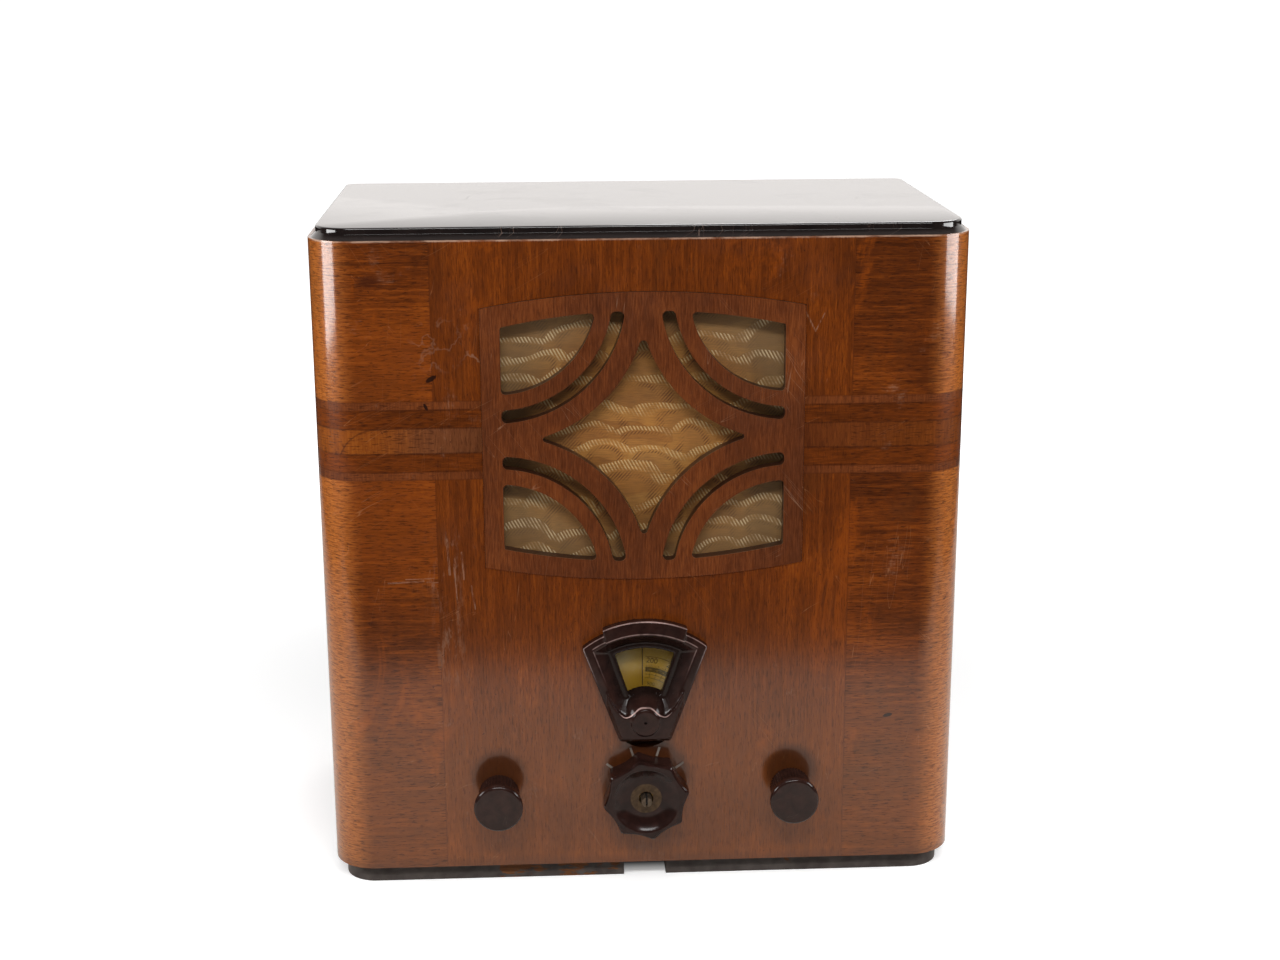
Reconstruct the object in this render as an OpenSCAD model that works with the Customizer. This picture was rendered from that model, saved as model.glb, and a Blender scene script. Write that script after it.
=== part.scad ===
// Table radio receiver of the early 1930s, as an assembly of separate pieces.
// Millimetres. The origin is on the floor, under the middle of the whole object. +Z is up, +X is to the
// right as seen from the front, and +Y points to the back. Inside most modules y is the depth behind the
// cabinet's front face, because at_front() moves it there.

/* [Cabinet] */
// Width of the veneered body
body_w = 370; // [350:1:400]
// Depth of the veneered body, front face to back
body_d = 216; // [208:1:240]
// Height of the veneered body above the plinth
body_h = 373; // [366:1:400]
// Radius of the rounded front corners
corner_r = 25; // [20:0.5:34]
// Thickness of the sides
side_t = 12; // [8:0.5:15]
// Thickness of the front panel
front_t = 9; // [8.6:0.2:10]
// Thickness of the top board and of the base board
board_t = 10; // [8:0.5:13]
// Distance of each front seam from the middle
seam_x = 117.5; // [105:0.5:135]
// Width of a square glue block
block_w = 16; // [10:1:20]
// Length of a glue block
block_len = 40; // [25:1:55]
// Thickness of the back cover
back_t = 3; // [2:0.5:5]
// Width of the battens that hold the back cover
batten_w = 12; // [10:1:18]
// Radius of a vent hole in the back cover
vent_r = 5; // [3:0.5:6]
// Distance between vent holes
vent_pitch = 20; // [18:1:24]
// Radius of a screw's shank
screw_r = 1.5; // [1:0.1:2]
// Radius of a screw's round head
screw_head_r = 3.5; // [3:0.1:4.5]
// Height of a screw's round head
screw_head_h = 1.5; // [1:0.1:2.5]

/* [Plinth and top] */
// Height of the plinth
plinth_h = 11; // [8:0.5:16]
// How far the plinth stands back from the body
plinth_inset = 6; // [4:0.5:9]
// Width of a plinth rail
plinth_rail_w = 20; // [16:1:26]
// Width of the notch in the plinth's front
notch_w = 25; // [18:1:34]
// Half width of the shadow gap between plinth and body
shadow_gap_half_w = 87; // [60:1:110]
// Height of that shadow gap
shadow_gap_h = 0.8; // [0.4:0.1:1.5]
// How far the top plate stands back from the body
top_inset = 4.4; // [3.5:0.1:8]
// How far the foot of its moulding stands back
top_foot_inset = 1.6; // [0.8:0.1:3]
// Height of the moulding's sloping foot
top_bevel_h = 3; // [1.5:0.1:5]
// Height of the top plate's upright edge
top_edge_h = 3.6; // [2.5:0.1:6]
// Radius of the top plate's rear corners
top_rear_r = 5; // [2:0.5:9]

/* [Grille] */
// How far the grille's centre lies below the middle of the space between escutcheon and top
grille_drop = 2.85; // [0:0.05:5]
// Half width of the fretwork panel
fret_half_w = 90.5; // [88:0.5:94]
// Half height of the fretwork panel at its corners
fret_half_h = 74.5; // [72:0.5:78]
// Rise of the panel's curved top and bottom edges
fret_rise = 8.5; // [4:0.5:10]
// Width of the fretwork panel's border at its sides
fret_border = 11; // [8:0.5:14]
// Width of that border at the curved top and bottom
fret_border_arch = 10.5; // [8:0.5:13]
// Distance of the fret arcs' centres from the grille's centre
fret_arc_centre = 81.5; // [80:0.5:83]
// Radius of the arcs round the middle star
star_arc_r = 84.5; // [83:0.5:86]
// Radius at which the star's four points end
star_tip_r = 58; // [54:0.5:60]
// Width of the bar between star and slot
star_bar = 12.5; // [10:0.5:15]
// Width of the curved slot
slot_w = 7.5; // [5:0.5:9]
// Width of the bar between slot and corner opening
slot_bar = 8.8; // [6:0.2:11]
// Thickness of the fretwork panel
fret_t = 8; // [6:0.2:8.2]
// How far the fretwork stands proud of the front
fret_proud = 0.8; // [0.3:0.1:2]
// Thickness of the speaker cloth
cloth_t = 0.6; // [0.4:0.1:1]

/* [Escutcheon] */
// Height of the dial's axis above the floor
dial_z = 103.5; // [103:0.5:108]
// Radius of the escutcheon's shoulders about that axis
shoulder_r = 57.4; // [56.5:0.1:60]
// Radius of its raised top tab
tab_r = 61.2; // [60.5:0.1:64]
// Half width of the raised top tab
tab_half_w = 24.5; // [18:0.5:28]
// Half width of the escutcheon at its foot
foot_half_w = 15; // [13.5:0.5:20]
// Depth of the foot below the axis
foot_drop = 13.5; // [12:0.5:15]
// Slope of its two sides from the vertical, in degrees
side_slope = 20.3; // [18:0.1:22]
// How far the escutcheon's flat rim stands proud
esc_proud = 6; // [4:0.5:8]
// How far the raised tab stands proud
tab_proud = 8; // [7:0.5:10]
// Width of the flat rim at the shoulders
rim_w = 3.7; // [2.5:0.1:5]
// How far the boss stands proud
boss_proud = 10.5; // [9:0.5:13]
// Radius of the boss's face
boss_r = 9.5; // [8:0.5:11]
// Radius of the boss's root, behind the window
boss_root_r = 18; // [16:0.5:19]
// Outer radius of the window about the axis
window_r = 42.7; // [40:0.1:44]
// Slope of the window's sides from the vertical, in degrees
window_slope = 17.7; // [15:0.1:19]
// Depth of the funnel's foot behind the front face
funnel_depth = 2.5; // [2:0.1:3]
// Depth of the escutcheon's back skirt
skirt_depth = 3.5; // [3.2:0.1:4.5]
// Thickness of the clear window
window_t = 0.6; // [0.4:0.1:1]
// Place of the pointer line, left or right of the middle
pointer_x = -1.1; // [-3:0.1:3]
// Radius of the pointer wire
pointer_r = 0.3; // [0.2:0.05:0.4]

/* [Controls] */
// Distance of the two round knobs from the middle
control_x = 86; // [80:0.5:95]
// Height of the two round knobs' axes
control_z = 57.5; // [54:0.5:60]
// Height of the wave-change and tuning axis
wave_z = 57; // [56.5:0.1:57.2]
// Radius of a round knob's face
knob_face_r = 14.2; // [13:0.1:18]
// Radius of a round knob's ribbed body
knob_body_r = 12; // [10:0.1:12.5]
// How far a round knob stands out from the front
knob_out = 24; // [21:0.5:30]
// Thickness of a round knob's face disc
knob_disc_t = 5.5; // [4:0.5:7]
// Height of the slight dome on a round knob's face
knob_dome = 0.7; // [0.3:0.1:1.5]
// Number of ribs round a knob's body
knob_ribs = 40; // [24:4:60]
// Depth of those ribs
knob_rib_h = 0.5; // [0.3:0.05:0.8]
// Gap between a knob and the front face
knob_gap = 1; // [0.6:0.1:2]
// Radius of the volume and tone spindles
control_spindle_r = 3; // [2.5:0.1:3.5]
// Radius of the octagonal knob at its points
wave_tip_r = 26; // [24.5:0.1:28]
// Radius of that knob at the middle of a side
wave_side_r = 22.5; // [21:0.1:23.5]
// How far the octagonal knob stands out from the front
wave_out = 16; // [14:0.5:17]
// Radius of its dished face
wave_dish_r = 19; // [17:0.5:20]
// Depth of the dish
wave_dish_depth = 4.5; // [3:0.5:5]
// Radius of the hub ring in the dish
wave_hub_r = 9.5; // [8:0.5:11]
// Radius of the hole in the hub
wave_hole_r = 4.3; // [4:0.1:4.6]
// Angle of the point that shows the setting, clockwise from the top
wave_rest_angle = -54.7; // [-60:0.1:-45]
// Radius of the tuning spindle's free end
spindle_end_r = 3; // [2.8:0.1:3.1]
// Length of that free end
spindle_end_len = 5; // [4:0.5:5]
// How far the free end stands out from the front
spindle_out = 17.5; // [17:0.5:22]
// Width of the slot in the free end
spindle_slot_w = 1; // [0.8:0.1:1.4]
// Depth of that slot
spindle_slot_depth = 4; // [3:0.5:5]
// Radius of the tuning spindle's shank
spindle_r = 3.2; // [3.15:0.05:3.25]
// Outer radius of the wave-change sleeve
sleeve_r = 4.5; // [4.4:0.05:4.6]
// Inner end of the position marks, from the wave-change axis
mark_r0 = 22.7; // [22:0.1:24]
// Outer end of the position marks
mark_r1 = 28.5; // [27:0.1:29.2]
// Width of a position mark
mark_w = 1.2; // [0.8:0.1:2]
// Height of a position mark above the front face
mark_t = 0.5; // [0.3:0.05:0.8]
// Angle between two switch positions
wave_step = 35; // [30:1:36]

/* [Tuning drive] */
// Radius of the printed dial disc
dial_r = 41.5; // [40:0.1:41.6]
// Thickness of the dial disc
dial_t = 0.8; // [0.5:0.1:1.2]
// Depth of the dial disc behind the front face
dial_depth = 10.6; // [10.4:0.1:11]
// Radius of the drive disc that the roller turns
drive_r = 42; // [41:0.1:42.1]
// Thickness of the drive disc
drive_t = 1.5; // [1:0.1:1.8]
// Depth of the drive disc behind the front face
drive_depth = 37; // [36.8:0.1:37.4]
// Running gap between the disc's rim and the roller
drive_gap = 0.3; // [0.25:0.01:0.4]
// Radius of the roller's cheeks
roller_r = 7; // [6:0.1:8]
// Thickness of each cheek
roller_cheek_t = 1.2; // [1:0.1:1.3]
// Gap between a cheek and the drive disc
roller_gap = 0.4; // [0.3:0.05:0.5]
// Radius of the tuning capacitor's shaft
gang_shaft_r = 3; // [2.5:0.1:3.4]
// Radius of the tuning capacitor's moving vanes
rotor_r = 19; // [16:0.5:20]
// Thickness of a vane
vane_t = 0.8; // [0.5:0.1:1]
// Distance between two moving vanes
vane_pitch = 4.4; // [4:0.1:4.6]
// Number of moving vanes in a section
vane_count = 4; // [3:1:4]
// Number of sections in the tuning capacitor
gang_sections = 3; // [2:1:3]
// Length of one section
section_len = 24; // [22.5:0.5:24.5]
// Half width of the tuning capacitor's frame
gang_half_w = 26; // [25.5:0.5:29]
// Thickness of the frame's plates
gang_plate_t = 1.5; // [1:0.1:1.8]
// Height of the frame above the shaft
gang_rise = 24; // [22:0.5:27]

/* [Chassis] */
// Width of the chassis
chassis_w = 276; // [270:1:290]
// Depth of the chassis's front apron behind the front face
chassis_front = 44; // [43.8:0.1:44.4]
// Gap between the chassis's rear apron and the back cover
chassis_rear_gap = 17; // [14:0.5:20]
// Height of the chassis deck above the floor
deck_z = 74; // [70:0.5:76]
// Thickness of the chassis sheet
sheet_t = 1.2; // [1:0.1:1.6]
// Width of the chassis's foot flanges
flange_w = 14; // [12:0.5:18]
// Radius of a chassis bolt
chassis_bolt_r = 2; // [1.5:0.1:2.5]
// Radius of a potentiometer's body
pot_r = 13; // [11:0.5:14]
// Depth of a potentiometer's body
pot_len = 14; // [11:0.5:18]
// Radius of a potentiometer's bush
bush_r = 5; // [4.6:0.1:5.5]
// Width of the mains transformer's core
mains_w = 64; // [54:1:70]
// Depth of the mains transformer's core
mains_d = 44; // [36:1:48]
// Height of the mains transformer's core
mains_h = 56; // [46:1:66]
// Radius of a valve's base
valve_base_r = 15; // [13:0.5:16]
// Height of a valve's base
valve_base_h = 26; // [20:1:32]
// Radius of a valve holder
holder_r = 18; // [17:0.5:19]
// Height of a valve holder above the deck
holder_h = 6; // [4:0.5:8]
// Widest radius of a signal valve's bulb
signal_bulb_r = 17; // [16.5:0.5:19]
// Height of a signal valve's bulb
signal_bulb_h = 58; // [50:1:64]
// Widest radius of the two power valves' bulbs
power_bulb_r = 22; // [19:0.5:23]
// Height of the power valves' bulbs
power_bulb_h = 74; // [64:1:84]
// Wall of a bulb
glass_t = 1; // [0.8:0.1:1.4]
// Radius of a coil can
can_r = 15; // [12:0.5:16]
// Height of a coil can
can_h = 72; // [60:1:84]
// Radius of a smoothing capacitor
cap_r = 14; // [12:0.5:15]
// Height of a smoothing capacitor
cap_h = 88; // [74:1:96]
// Depth of the front row of valves and cans behind the chassis's front apron
front_row = 30; // [26:1:34]
// Depth of the rear row before the chassis's rear apron
rear_row_gap = 34; // [30:1:38]
// Half width of the bracket for the concentric controls
bracket_half_w = 28; // [24:0.5:32]
// Half height of that bracket's plate
bracket_half_h = 20; // [16:0.5:20]
// Height of the bracket's arms above the control axis
bracket_arm_h = 12; // [8:0.5:14]
// Height of the dial lamp's arm above the dial disc
lamp_rise = 6; // [5.5:0.5:8]
// Height of the lamp holder's plate
lamp_plate_h = 14; // [10:0.5:16]
// Distance of the dial lamp behind the front panel
lamp_depth = 14; // [12:0.5:16]

/* [Loudspeaker] */
// Width of the speaker board
speaker_board_w = 224; // [200:1:228]
// Gap between the speaker board and the top board
speaker_board_gap = 5.5; // [2:0.5:9]
// Gap between the lamp holder and the speaker board
speaker_board_rise = 9.5; // [2:0.5:12]
// Thickness of the speaker board
speaker_board_t = 10; // [8:0.5:12]
// Radius of the hole in the speaker board
speaker_hole_r = 67; // [65:0.5:68]
// Radius of the basket's flange
basket_r = 82; // [80:0.5:84]
// Radius of the basket's mouth
basket_mouth_r = 70; // [69:0.5:71]
// Radius of the basket's back plate
basket_back_r = 40; // [37:0.5:43]
// Depth of the basket
basket_depth = 48; // [44:0.5:54]
// Thickness of the basket's sheet
basket_t = 1.5; // [1:0.1:2]
// Radius of a basket window
basket_window_r = 12; // [9:0.5:13]
// Radius of the speaker bolts' circle
speaker_bolt_circle = 76; // [75.5:0.5:77]
// Radius of a speaker bolt
speaker_bolt_r = 2; // [1.5:0.1:2.2]
// Outer radius of the cone
cone_r = 58; // [56:0.5:59]
// Thickness of the cone
cone_t = 0.8; // [0.6:0.1:1.2]
// Depth of the cone
cone_depth = 30; // [26:0.5:32]
// Height of the cap in the cone's neck
cone_cap_h = 6; // [4:0.5:8]
// How far the cone moves each way
cone_travel = 1; // [0.5:0.1:1.4]
// Radius of the voice coil
coil_r = 13.2; // [13:0.1:13.3]
// Wall of the voice coil
coil_t = 0.8; // [0.6:0.1:0.9]
// Length of the voice coil inside the magnet
coil_reach = 12; // [8:0.5:14]
// Width of the basket's back plate outside the centring disc
spider_margin = 8; // [6:0.5:10]
// Height of the centring disc before the back plate
spider_rise = 7; // [5:0.5:9]
// Radial gap on each side of the voice coil
coil_gap = 0.6; // [0.5:0.05:0.8]
// Radius of the field magnet
magnet_r = 38; // [34:0.5:40]
// Length of the field magnet
magnet_len = 56; // [48:1:60]
// Width of the output transformer
output_w = 36; // [28:1:37]
// Height of the output transformer
output_h = 28; // [24:1:29]
// Depth of the output transformer
output_d = 30; // [24:1:40]

/* [Rear connections] */
// Inner radius of a socket tube
socket_r = 2; // [1.8:0.1:2.2]
// Outer radius of a socket tube
socket_tube_r = 3.4; // [3:0.1:3.8]
// Length of a socket tube
socket_len = 13; // [11:0.5:14]
// Distance between two sockets
socket_pitch = 19; // [17:0.5:21]
// Place of the socket strip's middle, left or right
socket_x = -34; // [-40:1:-30]
// Height of the sockets above the floor
socket_z = 46; // [43:0.5:50]
// Half height of the socket strip
strip_half_h = 10; // [7:0.5:12]
// Radius of the mains inlet gland's hole
gland_r = 4; // [3.5:0.1:4.5]
// Outer radius of the mains inlet gland
gland_outer_r = 8; // [7.5:0.1:9]
// Length of the mains inlet gland
gland_len = 8; // [6:0.5:10]
// Place of the mains inlet, left or right
gland_x = 104; // [96:1:112]

/* [Hidden] */
$fn = 64;

// Clearances
seat_gap = 0.2;
press_gap = 0.03;
running_gap = 0.05;
soft_gap = 0.3;
eps = 0.01;

// Cabinet
body_z0 = plinth_h;
body_z1 = plinth_h + body_h;
grille_z = (body_z1 + dial_z + tab_r) / 2 - grille_drop;
inner_x = body_w / 2 - side_t;
inner_z0 = body_z0 + board_t;
inner_z1 = body_z1 - board_t;
inner_corner_r = max(corner_r - side_t, 3);
back_face = body_d - back_t;
front_out = max(knob_out, spindle_out, wave_out);
front_y = (front_out - body_d - screw_head_h) / 2;

// Chassis
chassis_rear = back_face - chassis_rear_gap;
chassis_len = chassis_rear - chassis_front;
chassis_x = chassis_w / 2;

// Tuning drive
axis_drop = dial_z - wave_z;
groove_r = axis_drop - drive_r - drive_gap;
roller_front = drive_depth - roller_gap - roller_cheek_t;
roller_rear = drive_depth + drive_t + roller_gap + roller_cheek_t;
bracket_t = 1.4;
bracket_depth = roller_front - 1 - bracket_t;
gang_front = chassis_front + 8;
gang_len = gang_sections * section_len + 2 * gang_plate_t;

// Loudspeaker
speaker_face = front_t + speaker_board_t;
surround_t = 0.6;
basket_face = speaker_face + surround_t;
basket_back = basket_face + basket_depth;
cone_front = speaker_face + cone_travel + 1;
neck_depth = cone_front + cone_depth;
magnet_face = basket_back + basket_t;
lamp_arm_z = dial_z + dial_r + lamp_rise;
speaker_board_z0 = lamp_arm_z + lamp_plate_h + speaker_board_rise;
speaker_board_z1 = inner_z1 - speaker_board_gap;

// Places of the valves and cans on the deck, as [x, depth behind the chassis's front apron]
rear_row = chassis_len - rear_row_gap;
middle_row = (front_row + rear_row) / 2;
rectifier_place = [114, front_row];
output_place = [47, rear_row];
signal_places = [[-46, rear_row], [-84, rear_row], [-84, front_row]];
can_places = [[-46, middle_row], [-120, front_row], [-120, middle_row]];
cap_places = [[43.5, front_row], [76, front_row]];
mains_place = [102, rear_row - 8];
all_valves = concat([rectifier_place, output_place], signal_places);

// Moves its children from depth behind the front face to the object's own frame
module at_front() {
    translate([0, front_y, 0]) children();
}

// Outline in X and Z, made solid from depth d0 to depth d1
module upright(d0, d1) {
    translate([0, d1, 0]) rotate([90, 0, 0]) linear_extrude(d1 - d0) children();
}

// Cylinder along the depth, round (x, z)
module rod(x, z, r, d0, d1, sides = 64) {
    translate([x, d0, z]) rotate([-90, 0, 0]) cylinder(r = r, h = d1 - d0, $fn = sides);
}

// Profile of radius and depth, turned round the axis at (x, z)
module turned(x, z) {
    translate([x, 0, z]) rotate([-90, 0, 0]) rotate_extrude($fn = 96) children();
}

// Plan outline of the cabinet, with its two rounded front corners
module plan(w, d0, d1, r) {
    translate([-w / 2, d0 + r]) square([w, d1 - d0 - r]);
    translate([-w / 2 + r, d0]) square([w - 2 * r, r + eps]);
    for (s = [-1, 1]) translate([s * (w / 2 - r), d0 + r]) circle(r = r);
}

// Plan outline of the cabinet's inside, smaller by g all round
module inner_plan(g, d1) {
    plan(2 * (inner_x - g), front_t + g, d1, inner_corner_r);
}

// A side of the cabinet: s is -1 for the left and 1 for the right
module side(s) {
    at_front() translate([0, 0, body_z0]) linear_extrude(body_h) intersection() {
        difference() {
            plan(body_w, 0, body_d, corner_r);
            plan(2 * inner_x, front_t, body_d + 1, inner_corner_r);
        }
        translate([s > 0 ? seam_x : -body_w / 2 - 1, -1]) square([body_w / 2 + 1 - seam_x, body_d + 2]);
    }
}

module left_side() {
    color("saddlebrown") side(-1);
}

module right_side() {
    color("saddlebrown") side(1);
}

module front_panel() {
    color("sienna") at_front() difference() {
        upright(0, front_t) translate([-seam_x, body_z0]) square([2 * seam_x, body_h]);
        upright(-1, front_t + 1) fret_outline(seat_gap);
        upright(-1, front_t + 1) skirt_outline(soft_gap);
        for (s = [-1, 1]) rod(s * control_x, control_z, bush_r + 1, -1, front_t + 1);
        rod(0, wave_z, sleeve_r + 2, -1, front_t + 1);
    }
}

module top_board() {
    color("burlywood") at_front() translate([0, 0, inner_z1]) linear_extrude(board_t)
        inner_plan(seat_gap, back_face);
}

module base_board() {
    color("burlywood") at_front() difference() {
        translate([0, 0, body_z0]) linear_extrude(board_t) inner_plan(seat_gap, back_face);
        for (p = chassis_bolt_places())
            translate([p[0], p[1], body_z0 - 1]) cylinder(r = chassis_bolt_r + seat_gap, h = board_t + 2);
    }
}

// Plan outline of the top plate, standing back from the body by inset
module top_outline(inset) {
    w = body_w / 2 - inset;
    r = corner_r - inset;
    d1 = body_d - top_foot_inset;
    plan(2 * w, inset, d1 - top_rear_r, r);
    translate([-w + top_rear_r, inset + r]) square([2 * (w - top_rear_r), d1 - inset - r]);
    for (s = [-1, 1]) translate([s * (w - top_rear_r), d1 - top_rear_r]) circle(r = top_rear_r);
}

// Top plate with its moulded edge: prisms along the sides and the front, turned shapes at the front corners
module top_plate() {
    w0 = body_w / 2 - top_foot_inset;
    w1 = body_w / 2 - top_inset;
    corner_x = body_w / 2 - corner_r;
    d1 = body_d - top_foot_inset;
    h = top_bevel_h;
    top = top_bevel_h + top_edge_h;
    color([0.12, 0.09, 0.09]) at_front() translate([0, 0, body_z1]) difference() {
        union() {
            upright(corner_r, d1) polygon([[-w0, 0], [w0, 0], [w1, h], [w1, top], [-w1, top], [-w1, h]]);
            translate([-corner_x, 0, 0]) rotate([90, 0, 90]) linear_extrude(2 * corner_x)
                polygon([[top_foot_inset, 0], [d1, 0], [d1, top], [top_inset, top], [top_inset, h]]);
            for (s = [-1, 1]) translate([s * corner_x, corner_r, 0]) rotate_extrude($fn = 96)
                polygon([
                    [0, 0], [corner_r - top_foot_inset, 0], [corner_r - top_inset, h],
                    [corner_r - top_inset, top], [0, top]
                ]);
        }
        for (s = [-1, 1]) translate([s * (w1 - top_rear_r), d1 - top_rear_r, h]) difference() {
            translate([s > 0 ? 0 : -2 * top_rear_r, 0, 0]) cube([2 * top_rear_r, 2 * top_rear_r, top]);
            translate([0, 0, -1]) cylinder(r = top_rear_r, h = top + 2);
        }
    }
}

// Plan outline of the plinth
module plinth_plan(g) {
    edge = plinth_inset + g;
    plan(body_w - 2 * edge, edge, body_d - edge, corner_r - edge);
}

module plinth_front() {
    color([0.14, 0.14, 0.15]) at_front() difference() {
        linear_extrude(plinth_h) intersection() {
            plinth_plan(0);
            translate([-body_w / 2, 0]) square([body_w, plinth_inset + plinth_rail_w]);
        }
        translate([-notch_w / 2, 0, -1]) cube([notch_w, 2 * plinth_rail_w + plinth_inset, plinth_h + 2]);
        translate([-shadow_gap_half_w, 0, plinth_h - shadow_gap_h])
            cube([2 * shadow_gap_half_w, plinth_inset + 6, shadow_gap_h + 1]);
    }
}

module plinth_rails() {
    rail_x = body_w / 2 - plinth_inset;
    d0 = plinth_inset + plinth_rail_w;
    d1 = body_d - plinth_inset;
    color([0.14, 0.14, 0.15]) at_front() {
        for (s = [-1, 1]) translate([s > 0 ? rail_x - plinth_rail_w : -rail_x, d0, 0])
            cube([plinth_rail_w, d1 - d0 - plinth_rail_w, plinth_h]);
        translate([-rail_x, d1 - plinth_rail_w, 0]) cube([2 * rail_x, plinth_rail_w, plinth_h]);
    }
}

module glue_blocks() {
    front_d = front_t + inner_corner_r + 1;
    rear_d = back_face - batten_w - block_w - seat_gap;
    color("burlywood") at_front() for (s = [-1, 1]) for (d = [front_d, rear_d])
        translate([s * (inner_x - block_w / 2) - block_w / 2, d, 0]) {
            translate([0, 0, inner_z0]) cube([block_w, block_w, block_len]);
            translate([0, 0, inner_z1 - block_len]) cube([block_w, block_w, block_len]);
        }
}

module back_battens() {
    color("burlywood") at_front() difference() {
        for (s = [-1, 1]) translate([s > 0 ? inner_x - batten_w : -inner_x, back_face - batten_w, inner_z0])
            cube([batten_w, batten_w, inner_z1 - inner_z0]);
        for (p = back_screw_places()) rod(p[0], p[1], screw_r + press_gap, back_face - 9, back_face + 1);
    }
}

// Where the back cover's screws go, as [x, z]
function back_screw_places() = [
    for (s = [-1, 1]) for (t = [0.08, 0.5, 0.92])
        [s * (inner_x - batten_w / 2), inner_z0 + t * (inner_z1 - inner_z0)]
];

// Where the chassis's bolts go, as [x, depth]
function chassis_bolt_places() = [
    for (s = [-1, 1]) for (d = [chassis_front + 20, chassis_rear - 20]) [s * (chassis_x - flange_w / 2), d]
];

// Half width and half height of the hole in the back cover over the socket strip
function socket_hole_half() = [2 * socket_pitch, 14];

module back_cover() {
    edge = 1;
    columns = floor((2 * inner_x - 100) / vent_pitch / 2);
    vent_z = deck_z + 40;
    rows = floor((inner_z1 - 40 - vent_z) / vent_pitch);
    hole = socket_hole_half();
    color("tan") at_front() difference() {
        translate([-inner_x + seat_gap, back_face, body_z0 + edge])
            cube([2 * (inner_x - seat_gap), back_t, body_h - 2 * edge]);
        for (i = [-columns:columns]) for (j = [0:rows]) if (j < 3 || j > rows - 5)
            rod(i * vent_pitch, vent_z + j * vent_pitch, vent_r, back_face - 1, body_d + 1);
        translate([socket_x - hole[0], back_face - 1, socket_z - hole[1]])
            cube([2 * hole[0], back_t + 2, 2 * hole[1]]);
        rod(gland_x, socket_z, gland_outer_r + 3, back_face - 1, body_d + 1);
        for (p = back_screw_places()) rod(p[0], p[1], screw_r + seat_gap, back_face - 1, body_d + 1);
    }
}

module back_screws() {
    color("silver") at_front() for (p = back_screw_places()) {
        rod(p[0], p[1], screw_r, back_face - 8, body_d);
        rod(p[0], p[1], screw_head_r, body_d, body_d + screw_head_h);
    }
}

// Radius of an arch of the given half width and rise
function arch_r(half_w, rise) = (half_w * half_w + rise * rise) / (2 * rise);

// Outline with straight sides and curved top and bottom, round the grille's centre, grown by g
module arched(half_w, half_h, g) {
    r = arch_r(half_w, fret_rise);
    drop = r - half_h - fret_rise;
    translate([0, grille_z]) intersection() {
        square([2 * (half_w + g), 4 * half_h], center = true);
        translate([0, -drop]) circle(r = r + g, $fn = 360);
        translate([0, drop]) circle(r = r + g, $fn = 360);
    }
}

module fret_outline(g) {
    arched(fret_half_w, fret_half_h, g);
}

// All four corners' discs of radius r
module fret_discs(r) {
    for (sx = [-1, 1]) for (sz = [-1, 1])
        translate([sx * fret_arc_centre, grille_z + sz * fret_arc_centre]) circle(r = r, $fn = 180);
}

module grille_fret() {
    slot_r1 = star_arc_r - star_bar;
    slot_r0 = slot_r1 - slot_w;
    color([0.4, 0.2, 0.1]) at_front() upright(-fret_proud, fret_t - fret_proud) difference() {
        fret_outline(0);
        intersection() {
            arched(fret_half_w - fret_border, fret_half_h - fret_border_arch, 0);
            union() {
                difference() {
                    translate([0, grille_z]) circle(r = star_tip_r, $fn = 96);
                    fret_discs(star_arc_r);
                }
                difference() {
                    fret_discs(slot_r1);
                    fret_discs(slot_r0);
                }
                fret_discs(slot_r0 - slot_bar);
            }
        }
    }
}

module speaker_cloth() {
    color([0.69, 0.54, 0.33]) at_front() upright(front_t - cloth_t, front_t) fret_outline(-soft_gap);
}

// Places of the speaker bolts, as [x, z]
function speaker_bolt_places() = [
    for (a = [45:90:315]) [speaker_bolt_circle * cos(a), grille_z + speaker_bolt_circle * sin(a)]
];

module speaker_board() {
    color("burlywood") at_front() difference() {
        upright(front_t, speaker_face) translate([-speaker_board_w / 2, speaker_board_z0])
            square([speaker_board_w, speaker_board_z1 - speaker_board_z0]);
        rod(0, grille_z, speaker_hole_r, front_t - 1, speaker_face + 1);
        for (p = speaker_bolt_places()) {
            rod(p[0], p[1], speaker_bolt_r + seat_gap, front_t - 1, speaker_face + 1);
            rod(p[0], p[1], 2 * speaker_bolt_r + seat_gap, front_t - 1, front_t + 2 + seat_gap);
        }
    }
}

module speaker_basket() {
    slope_r = basket_mouth_r - basket_back_r;
    mid_d = (basket_face + basket_back) / 2;
    color([0.25, 0.25, 0.27]) at_front() difference() {
        turned(0, grille_z) polygon([
            [basket_mouth_r, basket_face], [basket_r, basket_face], [basket_r, basket_face + basket_t],
            [basket_mouth_r, basket_face + basket_t], [basket_back_r, magnet_face],
            [coil_r + 2, magnet_face], [coil_r + 2, basket_back], [basket_back_r - basket_t, basket_back],
            [basket_mouth_r - 2 * basket_t, basket_face + basket_t],
            [basket_mouth_r - 2 * basket_t, basket_face]
        ]);
        for (a = [0:60:300]) translate([0, mid_d, grille_z]) rotate([0, a, 0])
            translate([0, 0, slope_r * 0.6]) cylinder(r = basket_window_r, h = basket_r);
        for (p = speaker_bolt_places())
            rod(p[0], p[1], speaker_bolt_r + seat_gap, basket_face - 1, basket_face + basket_t + 1);
    }
}

// Ring of treated cloth between basket flange and cone, with one half-round roll
module cone_surround() {
    inner_r = cone_r + soft_gap;
    outer_r = basket_mouth_r + 2;
    roll_r = (speaker_hole_r - 1 - inner_r) / 2;
    mid_r = inner_r + roll_r;
    color([0.2, 0.16, 0.13]) at_front() turned(0, grille_z) {
        translate([mid_r + roll_r - surround_t, speaker_face])
            square([outer_r - mid_r - roll_r + surround_t, surround_t]);
        difference() {
            translate([mid_r, speaker_face + surround_t]) circle(r = roll_r);
            translate([mid_r, speaker_face + surround_t]) circle(r = roll_r - surround_t);
            translate([0, speaker_face + surround_t]) square([2 * outer_r, 2 * roll_r]);
        }
    }
}

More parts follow.
